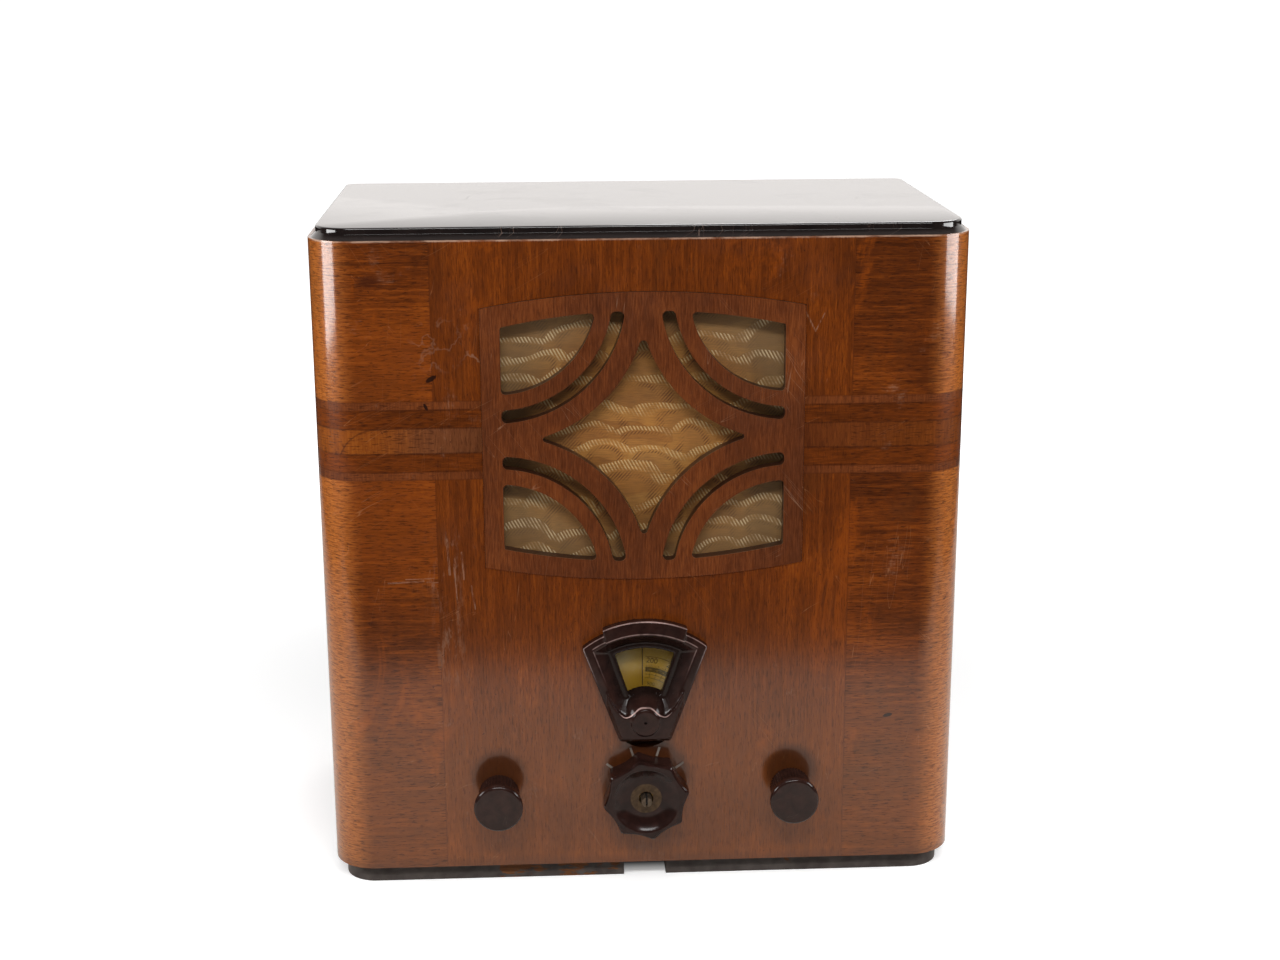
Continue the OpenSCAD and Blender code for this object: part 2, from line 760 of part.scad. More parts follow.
module speaker_cone() {
    color([0.18, 0.15, 0.13]) at_front() turned(0, grille_z) polygon([
        [cone_r, cone_front], [cone_r, cone_front + 2 * cone_t], [coil_r + cone_t, neck_depth + cone_t],
        [0, neck_depth - cone_cap_h + cone_t], [0, neck_depth - cone_cap_h],
        [coil_r * 0.7, neck_depth - cone_cap_h * 0.55], [coil_r, neck_depth - cone_t],
        [cone_r - 2 * cone_t, cone_front]
    ]);
}

module voice_coil() {
    start = neck_depth + cone_t;
    color("peru") at_front() turned(0, grille_z)
        translate([coil_r - coil_t, start]) square([coil_t, magnet_face + coil_reach - start]);
}

// Centring disc on a shallow ring that stands on the basket's back plate
module speaker_spider() {
    outer_r = basket_back_r - spider_margin;
    depth = basket_back - spider_rise;
    color([0.6, 0.45, 0.25]) at_front() turned(0, grille_z) {
        translate([coil_r + soft_gap, depth]) square([outer_r - coil_r - soft_gap, surround_t]);
        translate([outer_r - surround_t, depth]) square([surround_t, basket_back - depth]);
    }
}

module field_magnet() {
    pole_r = coil_r - coil_t - coil_gap;
    gap_r = coil_r + coil_gap;
    gap_end = magnet_face + coil_reach + cone_travel + 2;
    color([0.2, 0.2, 0.22]) at_front() turned(0, grille_z) polygon([
        [0, magnet_face - 2], [pole_r, magnet_face - 2], [pole_r, gap_end], [gap_r, gap_end],
        [gap_r, magnet_face], [magnet_r, magnet_face], [magnet_r, magnet_face + magnet_len],
        [0, magnet_face + magnet_len]
    ]);
}

module output_transformer() {
    x0 = -speaker_board_w / 2 + 2;
    z0 = speaker_board_z0 + 2;
    color([0.3, 0.3, 0.32]) at_front() {
        translate([x0, speaker_face, z0]) cube([output_w, output_d * 0.6, output_h]);
        translate([x0 + output_w * 0.2, speaker_face, z0 + 3]) cube([output_w * 0.6, output_d, output_h - 6]);
    }
}

module speaker_bolts() {
    nut_face = basket_face + basket_t;
    color("silver") at_front() for (p = speaker_bolt_places()) {
        rod(p[0], p[1], speaker_bolt_r, front_t + 2, nut_face + 6);
        rod(p[0], p[1], 2 * speaker_bolt_r, front_t + seat_gap, front_t + 2);
        rod(p[0], p[1], 2 * speaker_bolt_r, nut_face, nut_face + 3, 6);
    }
}

// Half width of the escutcheon at height h above the axis
function esc_half_w(h) = foot_half_w + (h + foot_drop) * tan(side_slope);

// Outline of the escutcheon about the dial axis, smaller by inset
module esc_outline(inset) {
    shift = inset / cos(side_slope);
    top = shoulder_r + 1;
    translate([0, dial_z]) intersection() {
        circle(r = shoulder_r - inset, $fn = 180);
        polygon([
            [-esc_half_w(top) + shift, top], [esc_half_w(top) - shift, top],
            [esc_half_w(inset - foot_drop) - shift, inset - foot_drop],
            [-esc_half_w(inset - foot_drop) + shift, inset - foot_drop]
        ]);
    }
}

// Fan above the dial axis from radius r0 to radius r1, with sides grown by g
module fan(r0, r1, g) {
    apex = -boss_root_r * 0.85 - g / sin(window_slope);
    top = r1 + 1;
    slope = tan(window_slope);
    translate([0, dial_z]) intersection() {
        difference() {
            circle(r = r1, $fn = 180);
            circle(r = r0);
        }
        polygon([
            [-apex * slope, 0], [(top - apex) * slope, top], [(apex - top) * slope, top], [apex * slope, 0]
        ]);
    }
}

// Outline of the part that stands in the front panel's hole
module skirt_outline(g) {
    fan(boss_root_r - 4, window_r + 3 + g, 3 + g);
    translate([0, dial_z]) circle(r = boss_root_r + 1 + g);
}

module escutcheon() {
    mouth_r = shoulder_r - rim_w;
    color([0.24, 0.16, 0.15]) at_front() {
        difference() {
            union() {
                upright(-esc_proud, 0) esc_outline(0);
                upright(-tab_proud, 0) translate([0, dial_z]) intersection() {
                    difference() {
                        circle(r = tab_r, $fn = 180);
                        circle(r = mouth_r - 1, $fn = 180);
                    }
                    polygon([[0, 0], [tab_half_w * 1.5, tab_r * 1.5], [-tab_half_w * 1.5, tab_r * 1.5]]);
                }
                upright(-eps, skirt_depth) skirt_outline(0);
            }
            hull() {
                upright(-tab_proud - 1, -esc_proud) intersection() {
                    translate([0, dial_z]) circle(r = mouth_r, $fn = 96);
                    esc_outline(2 * rim_w);
                    translate([-tab_r, dial_z + 3]) square([2 * tab_r, tab_r]);
                }
                upright(funnel_depth, funnel_depth + eps) intersection() {
                    fan(1, window_r, 0);
                    translate([-tab_r, dial_z + 8]) square([2 * tab_r, tab_r]);
                }
            }
            upright(funnel_depth - 1, skirt_depth + 1) fan(boss_root_r, window_r, 0);
        }
        difference() {
            turned(0, dial_z) polygon([
                [0, -boss_proud], [boss_r - 1, -boss_proud], [boss_r, 1 - boss_proud],
                [boss_root_r, funnel_depth], [boss_root_r, skirt_depth], [0, skirt_depth]
            ]);
            rod(0, dial_z, 1, -boss_proud - 1, 2 - boss_proud);
        }
        difference() {
            upright(-esc_proud - 3, -esc_proud + eps) intersection() {
                esc_outline(2.5);
                translate([-tab_r, dial_z - foot_drop]) square([2 * tab_r, foot_drop + 3]);
            }
            rod(0, dial_z, boss_r - 1, -boss_proud - 1, -esc_proud);
        }
    }
}

module dial_window() {
    color([0.85, 0.8, 0.6, 0.35]) at_front() upright(skirt_depth, skirt_depth + window_t) intersection() {
        fan(boss_root_r - 2, window_r + 2, 2);
        translate([-tab_r, dial_z]) square([2 * tab_r, tab_r]);
    }
}

module dial_pointer() {
    color([0.1, 0.08, 0.06]) at_front()
        translate([pointer_x, skirt_depth + window_t + pointer_r, dial_z + boss_root_r])
            cylinder(r = pointer_r, h = window_r - boss_root_r + 1, $fn = 24);
}

module switch_marks() {
    color("silver") at_front() for (i = [0:3])
        translate([0, 0, wave_z]) rotate([0, (i - 1.5) * wave_step, 0])
            translate([-mark_w / 2, -mark_t, mark_r0]) cube([mark_w, mark_t, mark_r1 - mark_r0]);
}

module chassis_deck() {
    color([0.5, 0.5, 0.5]) at_front() difference() {
        translate([-chassis_x, chassis_front, deck_z - sheet_t]) cube([chassis_w, chassis_len, sheet_t]);
        for (p = all_valves) translate([p[0], chassis_front + p[1], deck_z - sheet_t - 1])
            cylinder(r = holder_r - 4, h = sheet_t + 2);
    }
}

// Front and rear apron, and between them the two side walls with their foot flanges
module chassis_walls() {
    foot_z = inner_z0;
    wall_h = deck_z - sheet_t - foot_z;
    wall_d = chassis_front + sheet_t + seat_gap;
    wall_len = chassis_len - 2 * (sheet_t + seat_gap);
    color([0.5, 0.5, 0.5]) at_front() difference() {
        union() {
            for (d = [chassis_front, chassis_rear - sheet_t])
                translate([-chassis_x, d, foot_z]) cube([chassis_w, sheet_t, wall_h]);
            for (x = [-chassis_x, chassis_x - sheet_t]) translate([x, wall_d, foot_z])
                cube([sheet_t, wall_len, wall_h]);
            for (x = [-chassis_x, chassis_x - flange_w]) translate([x, wall_d, foot_z])
                cube([flange_w, wall_len, sheet_t]);
        }
        for (s = [-1, 1])
            rod(s * control_x, control_z, bush_r + seat_gap, chassis_front - 1, chassis_front + 2 * sheet_t);
        rod(0, wave_z, spindle_r + running_gap, chassis_front - 1, chassis_front + 2 * sheet_t);
        for (p = chassis_bolt_places())
            translate([p[0], p[1], foot_z - 1]) cylinder(r = chassis_bolt_r + seat_gap, h = sheet_t + 2);
        for (i = [-1.5:1:1.5])
            rod(socket_x + i * socket_pitch, socket_z, socket_tube_r + seat_gap,
                chassis_rear - 2 * sheet_t, chassis_rear + 1);
        rod(gland_x, socket_z, gland_outer_r - 2 + seat_gap, chassis_rear - 2 * sheet_t, chassis_rear + 1);
    }
}

module chassis_bolts() {
    color("silver") at_front() for (p = chassis_bolt_places()) translate([p[0], p[1], 0]) {
        translate([0, 0, body_z0 - 3]) cylinder(r = 2.4 * chassis_bolt_r, h = 3);
        translate([0, 0, body_z0]) cylinder(r = chassis_bolt_r, h = board_t + sheet_t + 6);
        translate([0, 0, inner_z0 + sheet_t]) cylinder(r = 2 * chassis_bolt_r, h = 3, $fn = 6);
    }
}

module mains_transformer() {
    coil_grow = 7;
    color([0.2, 0.2, 0.22]) at_front() translate([mains_place[0], chassis_front + mains_place[1], deck_z]) {
        translate([-mains_w / 2, -mains_d / 2, 0]) cube([mains_w, mains_d, mains_h]);
        translate([-mains_w / 2 + 10, -mains_d / 2 - coil_grow, 9])
            cube([mains_w - 20, mains_d + 2 * coil_grow, mains_h - 18]);
        for (s = [-1, 1]) translate([s * (mains_w / 2 - 6) - 6, -mains_d / 2 - 6, 0])
            cube([12, mains_d + 12, 2]);
    }
}

// Blown glass bulb, open below, standing on a valve's base
module bulb(wide_r, h) {
    foot_r = valve_base_r - 1.5;
    outer = [
        [foot_r, 0], [foot_r, h * 0.08], [wide_r, h * 0.4], [wide_r, h * 0.55],
        [wide_r * 0.62, h * 0.78], [wide_r * 0.6, h * 0.9], [wide_r * 0.35, h]
    ];
    inner = [for (i = [len(outer) - 1:-1:0]) [
        outer[i][0] - glass_t, i == len(outer) - 1 ? h - glass_t : outer[i][1]
    ]];
    rotate_extrude($fn = 64) polygon(concat(outer, [[0, h], [0, h - glass_t]], inner));
}

// Puts its children on the deck, or higher by lift, at each of the places
module on_deck(places, lift) {
    for (p = places) translate([p[0], chassis_front + p[1], deck_z + lift]) children();
}

module rectifier_bulb() {
    color([0.8, 0.85, 0.85, 0.35]) at_front() on_deck([rectifier_place], holder_h + valve_base_h)
        bulb(power_bulb_r, power_bulb_h);
}

module output_bulb() {
    color([0.8, 0.85, 0.85, 0.35]) at_front() on_deck([output_place], holder_h + valve_base_h)
        bulb(power_bulb_r, power_bulb_h);
}

module signal_bulbs() {
    color([0.8, 0.85, 0.85, 0.35]) at_front() on_deck(signal_places, holder_h + valve_base_h)
        bulb(signal_bulb_r, signal_bulb_h);
}

module valve_bases() {
    color([0.12, 0.1, 0.1]) at_front() on_deck(all_valves, holder_h)
        cylinder(r = valve_base_r, h = valve_base_h);
}

module valve_holders() {
    color([0.45, 0.3, 0.18]) at_front() on_deck(all_valves, 0) {
        cylinder(r = holder_r, h = holder_h);
        translate([0, 0, -sheet_t - 3]) cylinder(r = holder_r - 4 - seat_gap, h = sheet_t + 3 + eps);
    }
}

module valve_electrodes() {
    color([0.35, 0.35, 0.37]) at_front() on_deck(all_valves, holder_h + valve_base_h) {
        cylinder(r = 5, h = 12);
        translate([0, 0, 12]) cylinder(r = 7, h = signal_bulb_h * 0.4);
    }
}

module coil_cans() {
    color([0.75, 0.76, 0.78]) at_front() on_deck(can_places, 0) difference() {
        cylinder(r = can_r, h = can_h);
        translate([0, 0, can_h - 3]) cylinder(r = 3, h = 4);
    }
}

module smoothing_capacitors() {
    color([0.7, 0.7, 0.72]) at_front() on_deck(cap_places, 0) {
        cylinder(r = cap_r, h = cap_h);
        cylinder(r = cap_r + 2, h = 4);
    }
}

// Depth of the front of section i of the tuning capacitor
function section_front(i) = gang_front + gang_plate_t + i * section_len;

// Depth of moving vane j in section i
function vane_depth(i, j) =
    section_front(i) + (section_len - (vane_count - 1) * vane_pitch) / 2 + j * vane_pitch - vane_t / 2;

module gang_frame() {
    z0 = deck_z;
    z1 = dial_z + gang_rise;
    rod_z = rotor_r * 0.8;
    color([0.6, 0.6, 0.6]) at_front() {
        translate([-gang_half_w, gang_front, z0]) cube([2 * gang_half_w, gang_len, gang_plate_t]);
        difference() {
            union() {
                for (i = [0:gang_sections])
                    translate([-gang_half_w, i == gang_sections ? gang_front + gang_len - gang_plate_t
                        : section_front(i) - gang_plate_t, z0]) cube([2 * gang_half_w, gang_plate_t, z1 - z0]);
                for (s = [-1, 1]) translate([s > 0 ? gang_half_w - 2 : -gang_half_w, gang_front, z1 - 6])
                    cube([2, gang_len, 6]);
            }
            rod(0, dial_z, gang_shaft_r + running_gap, gang_front - 1, gang_front + gang_len + 1);
            for (s = [-1, 1]) rod(-gang_half_w + 5, dial_z + s * rod_z, 2.5,
                gang_front + gang_plate_t + eps, gang_front + gang_len - gang_plate_t - eps);
        }
    }
}

module gang_stators() {
    rod_z = rotor_r * 0.8;
    hub_gap = gang_shaft_r + 3.5;
    color([0.72, 0.73, 0.75]) at_front() {
        for (i = [0:gang_sections - 1]) for (j = [0:vane_count]) {
            d = vane_depth(i, j) - vane_pitch / 2;
            upright(d, d + vane_t) translate([0, dial_z]) difference() {
                translate([-gang_half_w + 3, -rotor_r]) square([gang_half_w - 6, 2 * rotor_r]);
                circle(r = hub_gap);
            }
        }
        for (s = [-1, 1]) rod(-gang_half_w + 5, dial_z + s * rod_z, 1.5,
            gang_front + gang_plate_t, gang_front + gang_len - gang_plate_t, 24);
    }
}

module gang_rotor() {
    color([0.72, 0.73, 0.75]) at_front() {
        rod(0, dial_z, gang_shaft_r, dial_depth - 0.5, gang_front + gang_len + 3);
        for (i = [0:gang_sections - 1]) {
            rod(0, dial_z, gang_shaft_r + 2, section_front(i) + 1,
                section_front(i) + section_len - gang_plate_t - 1);
            for (j = [0:vane_count - 1]) upright(vane_depth(i, j), vane_depth(i, j) + vane_t)
                translate([0, dial_z]) intersection() {
                    circle(r = rotor_r);
                    translate([-1.5, -rotor_r]) square([rotor_r + 2, 2 * rotor_r]);
                }
        }
    }
}

module dial_disc() {
    color([0.75, 0.62, 0.28]) at_front() difference() {
        union() {
            rod(0, dial_z, dial_r, dial_depth, dial_depth + dial_t, 180);
            rod(0, dial_z, 8, dial_depth + dial_t, dial_depth + 5);
        }
        rod(0, dial_z, gang_shaft_r + press_gap, dial_depth - 1, dial_depth + 6);
    }
}

module drive_disc() {
    color("silver") at_front() difference() {
        union() {
            rod(0, dial_z, drive_r, drive_depth, drive_depth + drive_t, 180);
            rod(0, dial_z, 8, drive_depth + drive_t, drive_depth + drive_t + 4);
        }
        rod(0, dial_z, gang_shaft_r + press_gap, drive_depth - 1, drive_depth + drive_t + 5);
    }
}

module tuning_spindle() {
    end_d = -spindle_out;
    step_d = end_d + spindle_end_len;
    color("silver") at_front() {
        difference() {
            rod(0, wave_z, spindle_end_r, end_d, step_d);
            translate([-spindle_slot_w / 2, end_d - 1, wave_z - spindle_r])
                cube([spindle_slot_w, spindle_slot_depth + 1, 2 * spindle_r]);
        }
        rod(0, wave_z, spindle_r, step_d, chassis_front + 8);
        for (d = [roller_front, roller_rear - roller_cheek_t]) rod(0, wave_z, roller_r, d, d + roller_cheek_t);
        rod(0, wave_z, groove_r, roller_front, roller_rear);
        rod(0, wave_z, spindle_r + 2, chassis_front + sheet_t + 0.3, chassis_front + 6);
    }
}

// Plate with two arms in front of the chassis: it carries the sleeve's bush and the switch wafer
module control_bracket() {
    half_w = bracket_half_w;
    bottom = wave_z - bracket_half_h;
    top = wave_z + bracket_half_h;
    arm_top = wave_z + bracket_arm_h;
    color([0.6, 0.6, 0.6]) at_front() difference() {
        union() {
            translate([-half_w, bracket_depth, bottom]) cube([2 * half_w, bracket_t, top - bottom]);
            for (x = [-half_w, half_w - bracket_t]) translate([x, bracket_depth, bottom])
                cube([bracket_t, chassis_front - bracket_depth, arm_top - bottom]);
            rod(0, wave_z, sleeve_r + 2.5, bracket_depth - 4, bracket_depth + eps);
        }
        rod(0, wave_z, sleeve_r + running_gap, bracket_depth - 5, bracket_depth + bracket_t + 1);
    }
}

module wave_sleeve() {
    color("silver") at_front() difference() {
        rod(0, wave_z, sleeve_r, -wave_out + 11, bracket_depth + bracket_t);
        rod(0, wave_z, spindle_r + running_gap, -wave_out, bracket_depth + bracket_t + 1);
    }
}

module wave_knob() {
    sides = 8;
    tip = [wave_tip_r * cos(180 / sides), wave_tip_r * sin(180 / sides)];
    run = tip[0] - wave_side_r;
    hollow_r = (tip[1] * tip[1] + run * run) / (2 * run);
    face = -wave_out;
    floor_d = face + wave_dish_depth;
    color([0.22, 0.17, 0.16]) at_front() translate([0, 0, wave_z])
    rotate([0, wave_rest_angle, 0]) difference() {
        upright(face, -knob_gap) difference() {
            circle(r = wave_tip_r);
            for (i = [0:sides - 1]) rotate((i + 0.5) * 360 / sides)
                translate([wave_side_r + hollow_r, 0]) circle(r = hollow_r, $fn = 180);
        }
        turned(0, 0) polygon([
            [0, face - 1], [wave_dish_r + 0.5, face - 1], [wave_dish_r, face], [wave_dish_r - 2, floor_d - 1.5],
            [wave_hub_r, floor_d], [wave_hub_r, floor_d - 0.8], [0, floor_d - 0.8]
        ]);
        rod(0, 0, wave_hole_r, face, 0);
        rod(0, 0, sleeve_r + press_gap, -wave_out + 11 - seat_gap, 0);
    }
}

module wave_rotor() {
    d0 = wafer_depth() + 0.2;
    color([0.7, 0.45, 0.2]) at_front() difference() {
        rod(0, wave_z, 8 - soft_gap, d0, d0 + 1.6);
        rod(0, wave_z, sleeve_r + press_gap, d0 - 1, d0 + 3);
    }
}

// Depth of the switch wafer behind the front face
function wafer_depth() = bracket_depth - 9;

module wave_wafer() {
    color([0.7, 0.45, 0.2]) at_front() {
        difference() {
            rod(0, wave_z, 18, wafer_depth(), wafer_depth() + 2);
            rod(0, wave_z, 8, wafer_depth() - 1, wafer_depth() + 3);
        }
        for (s = [-1, 1]) rod(s * 14, wave_z, 2.5, wafer_depth() + 2, bracket_depth, 32);
    }
}

// Round knob with a plain face disc and a ribbed body, at x on the front
module round_knob(x) {
    disc_d = -knob_out + knob_disc_t;
    round_r = knob_disc_t * 0.3;
    color([0.24, 0.16, 0.15]) at_front() difference() {
        union() {
            upright(disc_d - 0.5, -knob_gap) translate([x, control_z]) polygon([
                for (i = [0:2 * knob_ribs - 1]) let (r = knob_body_r - (i % 2) * knob_rib_h)
                    [r * cos(i * 180 / knob_ribs), r * sin(i * 180 / knob_ribs)]
            ]);
            turned(x, control_z) polygon(concat(
                [[0, -knob_out], [knob_face_r * 0.5, -knob_out + knob_dome * 0.25]],
                [for (a = [90:-15:0]) [
                    knob_face_r - round_r + round_r * cos(a), -knob_out + knob_dome + round_r - round_r * sin(a)
                ]],
                [[knob_face_r, disc_d - 0.8], [knob_face_r - 0.8, disc_d], [0, disc_d]]
            ));
        }
        rod(x, control_z, control_spindle_r + press_gap, disc_d, 0);
    }
}

module volume_knob() {
    round_knob(-control_x);
}

module tone_knob() {
    round_knob(control_x);
}

module control_spindle(x) {
    color("silver") at_front()
        rod(x, control_z, control_spindle_r, -knob_out + knob_disc_t, chassis_front + sheet_t + pot_len - 4);
}

module volume_spindle() {
    control_spindle(-control_x);
}

module tone_spindle() {
    control_spindle(control_x);
}

module control_pots() {
    pot_face = chassis_front + sheet_t;
    color([0.3, 0.25, 0.2]) at_front() for (s = [-1, 1]) difference() {
        union() {
            rod(s * control_x, control_z, pot_r, pot_face, pot_face + pot_len);
            rod(s * control_x, control_z, bush_r, chassis_front - 7, pot_face + eps);
            rod(s * control_x, control_z, bush_r * 1.6, chassis_front - 3, chassis_front, 6);
        }
        rod(s * control_x, control_z, control_spindle_r + running_gap,
            chassis_front - 8, pot_face + pot_len - 3);
    }
}

module lamp_holder() {
    color("goldenrod") at_front() {
        translate([-8, front_t, lamp_arm_z]) cube([16, sheet_t, lamp_plate_h]);
        translate([-5, front_t, lamp_arm_z]) cube([10, lamp_depth + 6, sheet_t]);
        translate([0, front_t + lamp_depth, lamp_arm_z - 7]) cylinder(r = 4, h = 7 + eps);
    }
}

module dial_lamp() {
    top_z = lamp_arm_z - 7;
    color([1, 0.9, 0.6, 0.35]) at_front() translate([0, front_t + lamp_depth, 0]) {
        translate([0, 0, top_z - 6]) cylinder(r = 3.4, h = 6);
        translate([0, 0, top_z - 10]) sphere(r = 5.5, $fn = 48);
    }
}

module socket_strip() {
    half_w = 1.5 * socket_pitch + 8;
    color([0.35, 0.2, 0.1]) at_front() difference() {
        translate([socket_x - half_w, chassis_rear, socket_z - strip_half_h])
            cube([2 * half_w, 2, 2 * strip_half_h]);
        for (i = [-1.5:1:1.5]) rod(socket_x + i * socket_pitch, socket_z, socket_tube_r + press_gap,
            chassis_rear - 1, chassis_rear + 3);
    }
}

module socket_tubes() {
    color("goldenrod") at_front() for (i = [-1.5:1:1.5]) difference() {
        rod(socket_x + i * socket_pitch, socket_z, socket_tube_r,
            chassis_rear + 7 - socket_len, chassis_rear + 7);
        rod(socket_x + i * socket_pitch, socket_z, socket_r, chassis_rear + 6 - socket_len, chassis_rear + 8);
    }
}

module mains_gland() {
    color([0.08, 0.08, 0.08]) at_front() difference() {
        union() {
            rod(gland_x, socket_z, gland_outer_r - 2, chassis_rear - sheet_t - 2, chassis_rear + 2);
            rod(gland_x, socket_z, gland_outer_r, chassis_rear, chassis_rear + gland_len - 4);
            rod(gland_x, socket_z, gland_outer_r - 1, chassis_rear - sheet_t - 3, chassis_rear - sheet_t);
        }
        rod(gland_x, socket_z, gland_r, chassis_rear - 10, chassis_rear + gland_len);
    }
}

left_side();
right_side();
front_panel();
top_board();
top_plate();
base_board();
plinth_front();
plinth_rails();
glue_blocks();
back_battens();
back_cover();
back_screws();
grille_fret();
speaker_cloth();
speaker_board();
speaker_basket();
cone_surround();
speaker_spider();
field_magnet();
output_transformer();
speaker_bolts();
speaker_cone();
voice_coil();
escutcheon();
dial_window();
dial_pointer();
switch_marks();
chassis_deck();
chassis_walls();
chassis_bolts();
mains_transformer();
rectifier_bulb();
output_bulb();
signal_bulbs();
valve_bases();
valve_holders();
valve_electrodes();
coil_cans();
smoothing_capacitors();
gang_frame();
gang_stators();
gang_rotor();
dial_disc();
drive_disc();
tuning_spindle();
control_bracket();
dial_lamp();
lamp_holder();
wave_knob();
wave_sleeve();
wave_rotor();
wave_wafer();
volume_knob();
volume_spindle();
tone_knob();
tone_spindle();
control_pots();
socket_strip();
socket_tubes();
mains_gland();
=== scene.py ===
# %% [markdown]
# # A table radio receiver of the early 1930s
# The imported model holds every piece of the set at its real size: cabinet, fretwork, loudspeaker, chassis
# and controls. This lesson dresses it for a photograph. It loads the pieces, places the camera, mixes the
# finishes from procedural nodes, and models in finer form the pieces whose edges a camera sees from close
# by: the fretwork and its cloth, the moulded escutcheon, the three knobs, the back's screws, the dial's
# numbers and the top. The studio with its lamps comes last.

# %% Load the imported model
import math

import bpy
from mathutils import Matrix, Vector


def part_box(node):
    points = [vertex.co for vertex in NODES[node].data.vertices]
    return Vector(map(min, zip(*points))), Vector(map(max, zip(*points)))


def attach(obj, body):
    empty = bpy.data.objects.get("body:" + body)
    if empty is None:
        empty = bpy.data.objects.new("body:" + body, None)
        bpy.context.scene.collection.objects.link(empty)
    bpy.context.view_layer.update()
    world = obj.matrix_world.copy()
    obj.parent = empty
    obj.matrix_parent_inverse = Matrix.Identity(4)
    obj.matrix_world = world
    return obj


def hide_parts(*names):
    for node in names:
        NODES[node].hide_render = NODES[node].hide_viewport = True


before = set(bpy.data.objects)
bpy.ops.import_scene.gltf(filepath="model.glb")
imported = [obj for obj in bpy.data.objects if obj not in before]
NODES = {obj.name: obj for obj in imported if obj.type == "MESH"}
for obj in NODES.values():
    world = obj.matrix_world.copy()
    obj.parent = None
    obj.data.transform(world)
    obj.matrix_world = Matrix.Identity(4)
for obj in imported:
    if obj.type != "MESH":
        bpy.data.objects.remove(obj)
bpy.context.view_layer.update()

MM = 0.001
PANEL_LOW, PANEL_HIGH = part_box("front_panel")
GRILLE_LOW, GRILLE_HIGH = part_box("grille_fret")
DIAL_LOW, DIAL_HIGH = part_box("dial_disc")
KNOB_LOW, KNOB_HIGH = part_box("tone_knob")
FRONT_Y, BODY_HALF_W = PANEL_LOW.y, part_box("right_side")[1].x
GRILLE_Z, DIAL_Z = (GRILLE_LOW.z + GRILLE_HIGH.z) / 2, (DIAL_LOW.z + DIAL_HIGH.z) / 2

# The same places in millimetres, for finishes and outlines
FRONT, HALF_W, SEAM, FRET_HALF_W = FRONT_Y / MM, BODY_HALF_W / MM, PANEL_HIGH.x / MM, GRILLE_HIGH.x / MM
BODY_FOOT, BODY_TOP = PANEL_LOW.z / MM, PANEL_HIGH.z / MM
GRILLE_MID, DIAL_MID = GRILLE_Z / MM, DIAL_Z / MM
WAVE_MID = sum(corner.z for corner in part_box("wave_sleeve")) / 2 / MM
KNOB_X, KNOB_Z = (KNOB_LOW.x + KNOB_HIGH.x) / 2 / MM, (KNOB_LOW.z + KNOB_HIGH.z) / 2 / MM
print("nodes:", len(NODES), "front face at", round(FRONT, 2), "mm, grille centre at",
      round(GRILLE_MID, 1), "mm")

# %% [markdown]
# ## The camera
# The photograph was taken from a little above, slightly left of the middle. A camera is a place, a lens and
# three angles: yaw turns it left or right, pitch tips it down and roll tilts its horizon. The angles come
# from the places of the cabinet's corners in the photograph, so they are written as found.

# %% Camera
CAMERA_PLACE = Vector((-0.05583, -1.1661, 0.5385))
CAMERA_YAW, CAMERA_PITCH, CAMERA_ROLL = 0.0501, 0.2659, -0.0044
CAMERA_LENS, SENSOR_WIDTH = 55.199, 36


def add_camera():
    data = bpy.data.cameras.new("photo_camera")
    data.lens, data.sensor_width, data.sensor_fit = CAMERA_LENS, SENSOR_WIDTH, "HORIZONTAL"
    camera = bpy.data.objects.new("photo_camera", data)
    bpy.context.scene.collection.objects.link(camera)
    turn = Matrix.Rotation(-CAMERA_YAW, 4, "Z") @ Matrix.Rotation(math.pi / 2 - CAMERA_PITCH, 4, "X")
    camera.matrix_world = Matrix.Translation(CAMERA_PLACE) @ turn @ Matrix.Rotation(CAMERA_ROLL, 4, "Z")
    bpy.context.scene.camera = camera
    return camera


print("camera:", add_camera().name, "lens", CAMERA_LENS, "mm")

# %% [markdown]
# ## Short words for node trees
# A finish is a tree of small nodes. Written out in full, each node takes five lines and hides the idea. Two
# classes shorten it. A Value is what comes out of a node: adding or multiplying values makes a math node,
# and words such as noise, fade and blend make the others. A Tree makes the nodes that start a recipe. Place
# always comes from Object coordinates, because those stay with the piece when it moves. A finish then reads
# like a recipe: take the place in millimetres, make a streak, blend two browns with it. Colours are written
# as a screen shows them, from 0 to 255.

# %% Node words
def arithmetic(operation):
    """The two methods of one sign: for a value in front of it and for a value behind it."""
    return (lambda one, other: one.tree.calc(operation, one, other),
            lambda one, other: one.tree.calc(operation, other, one))


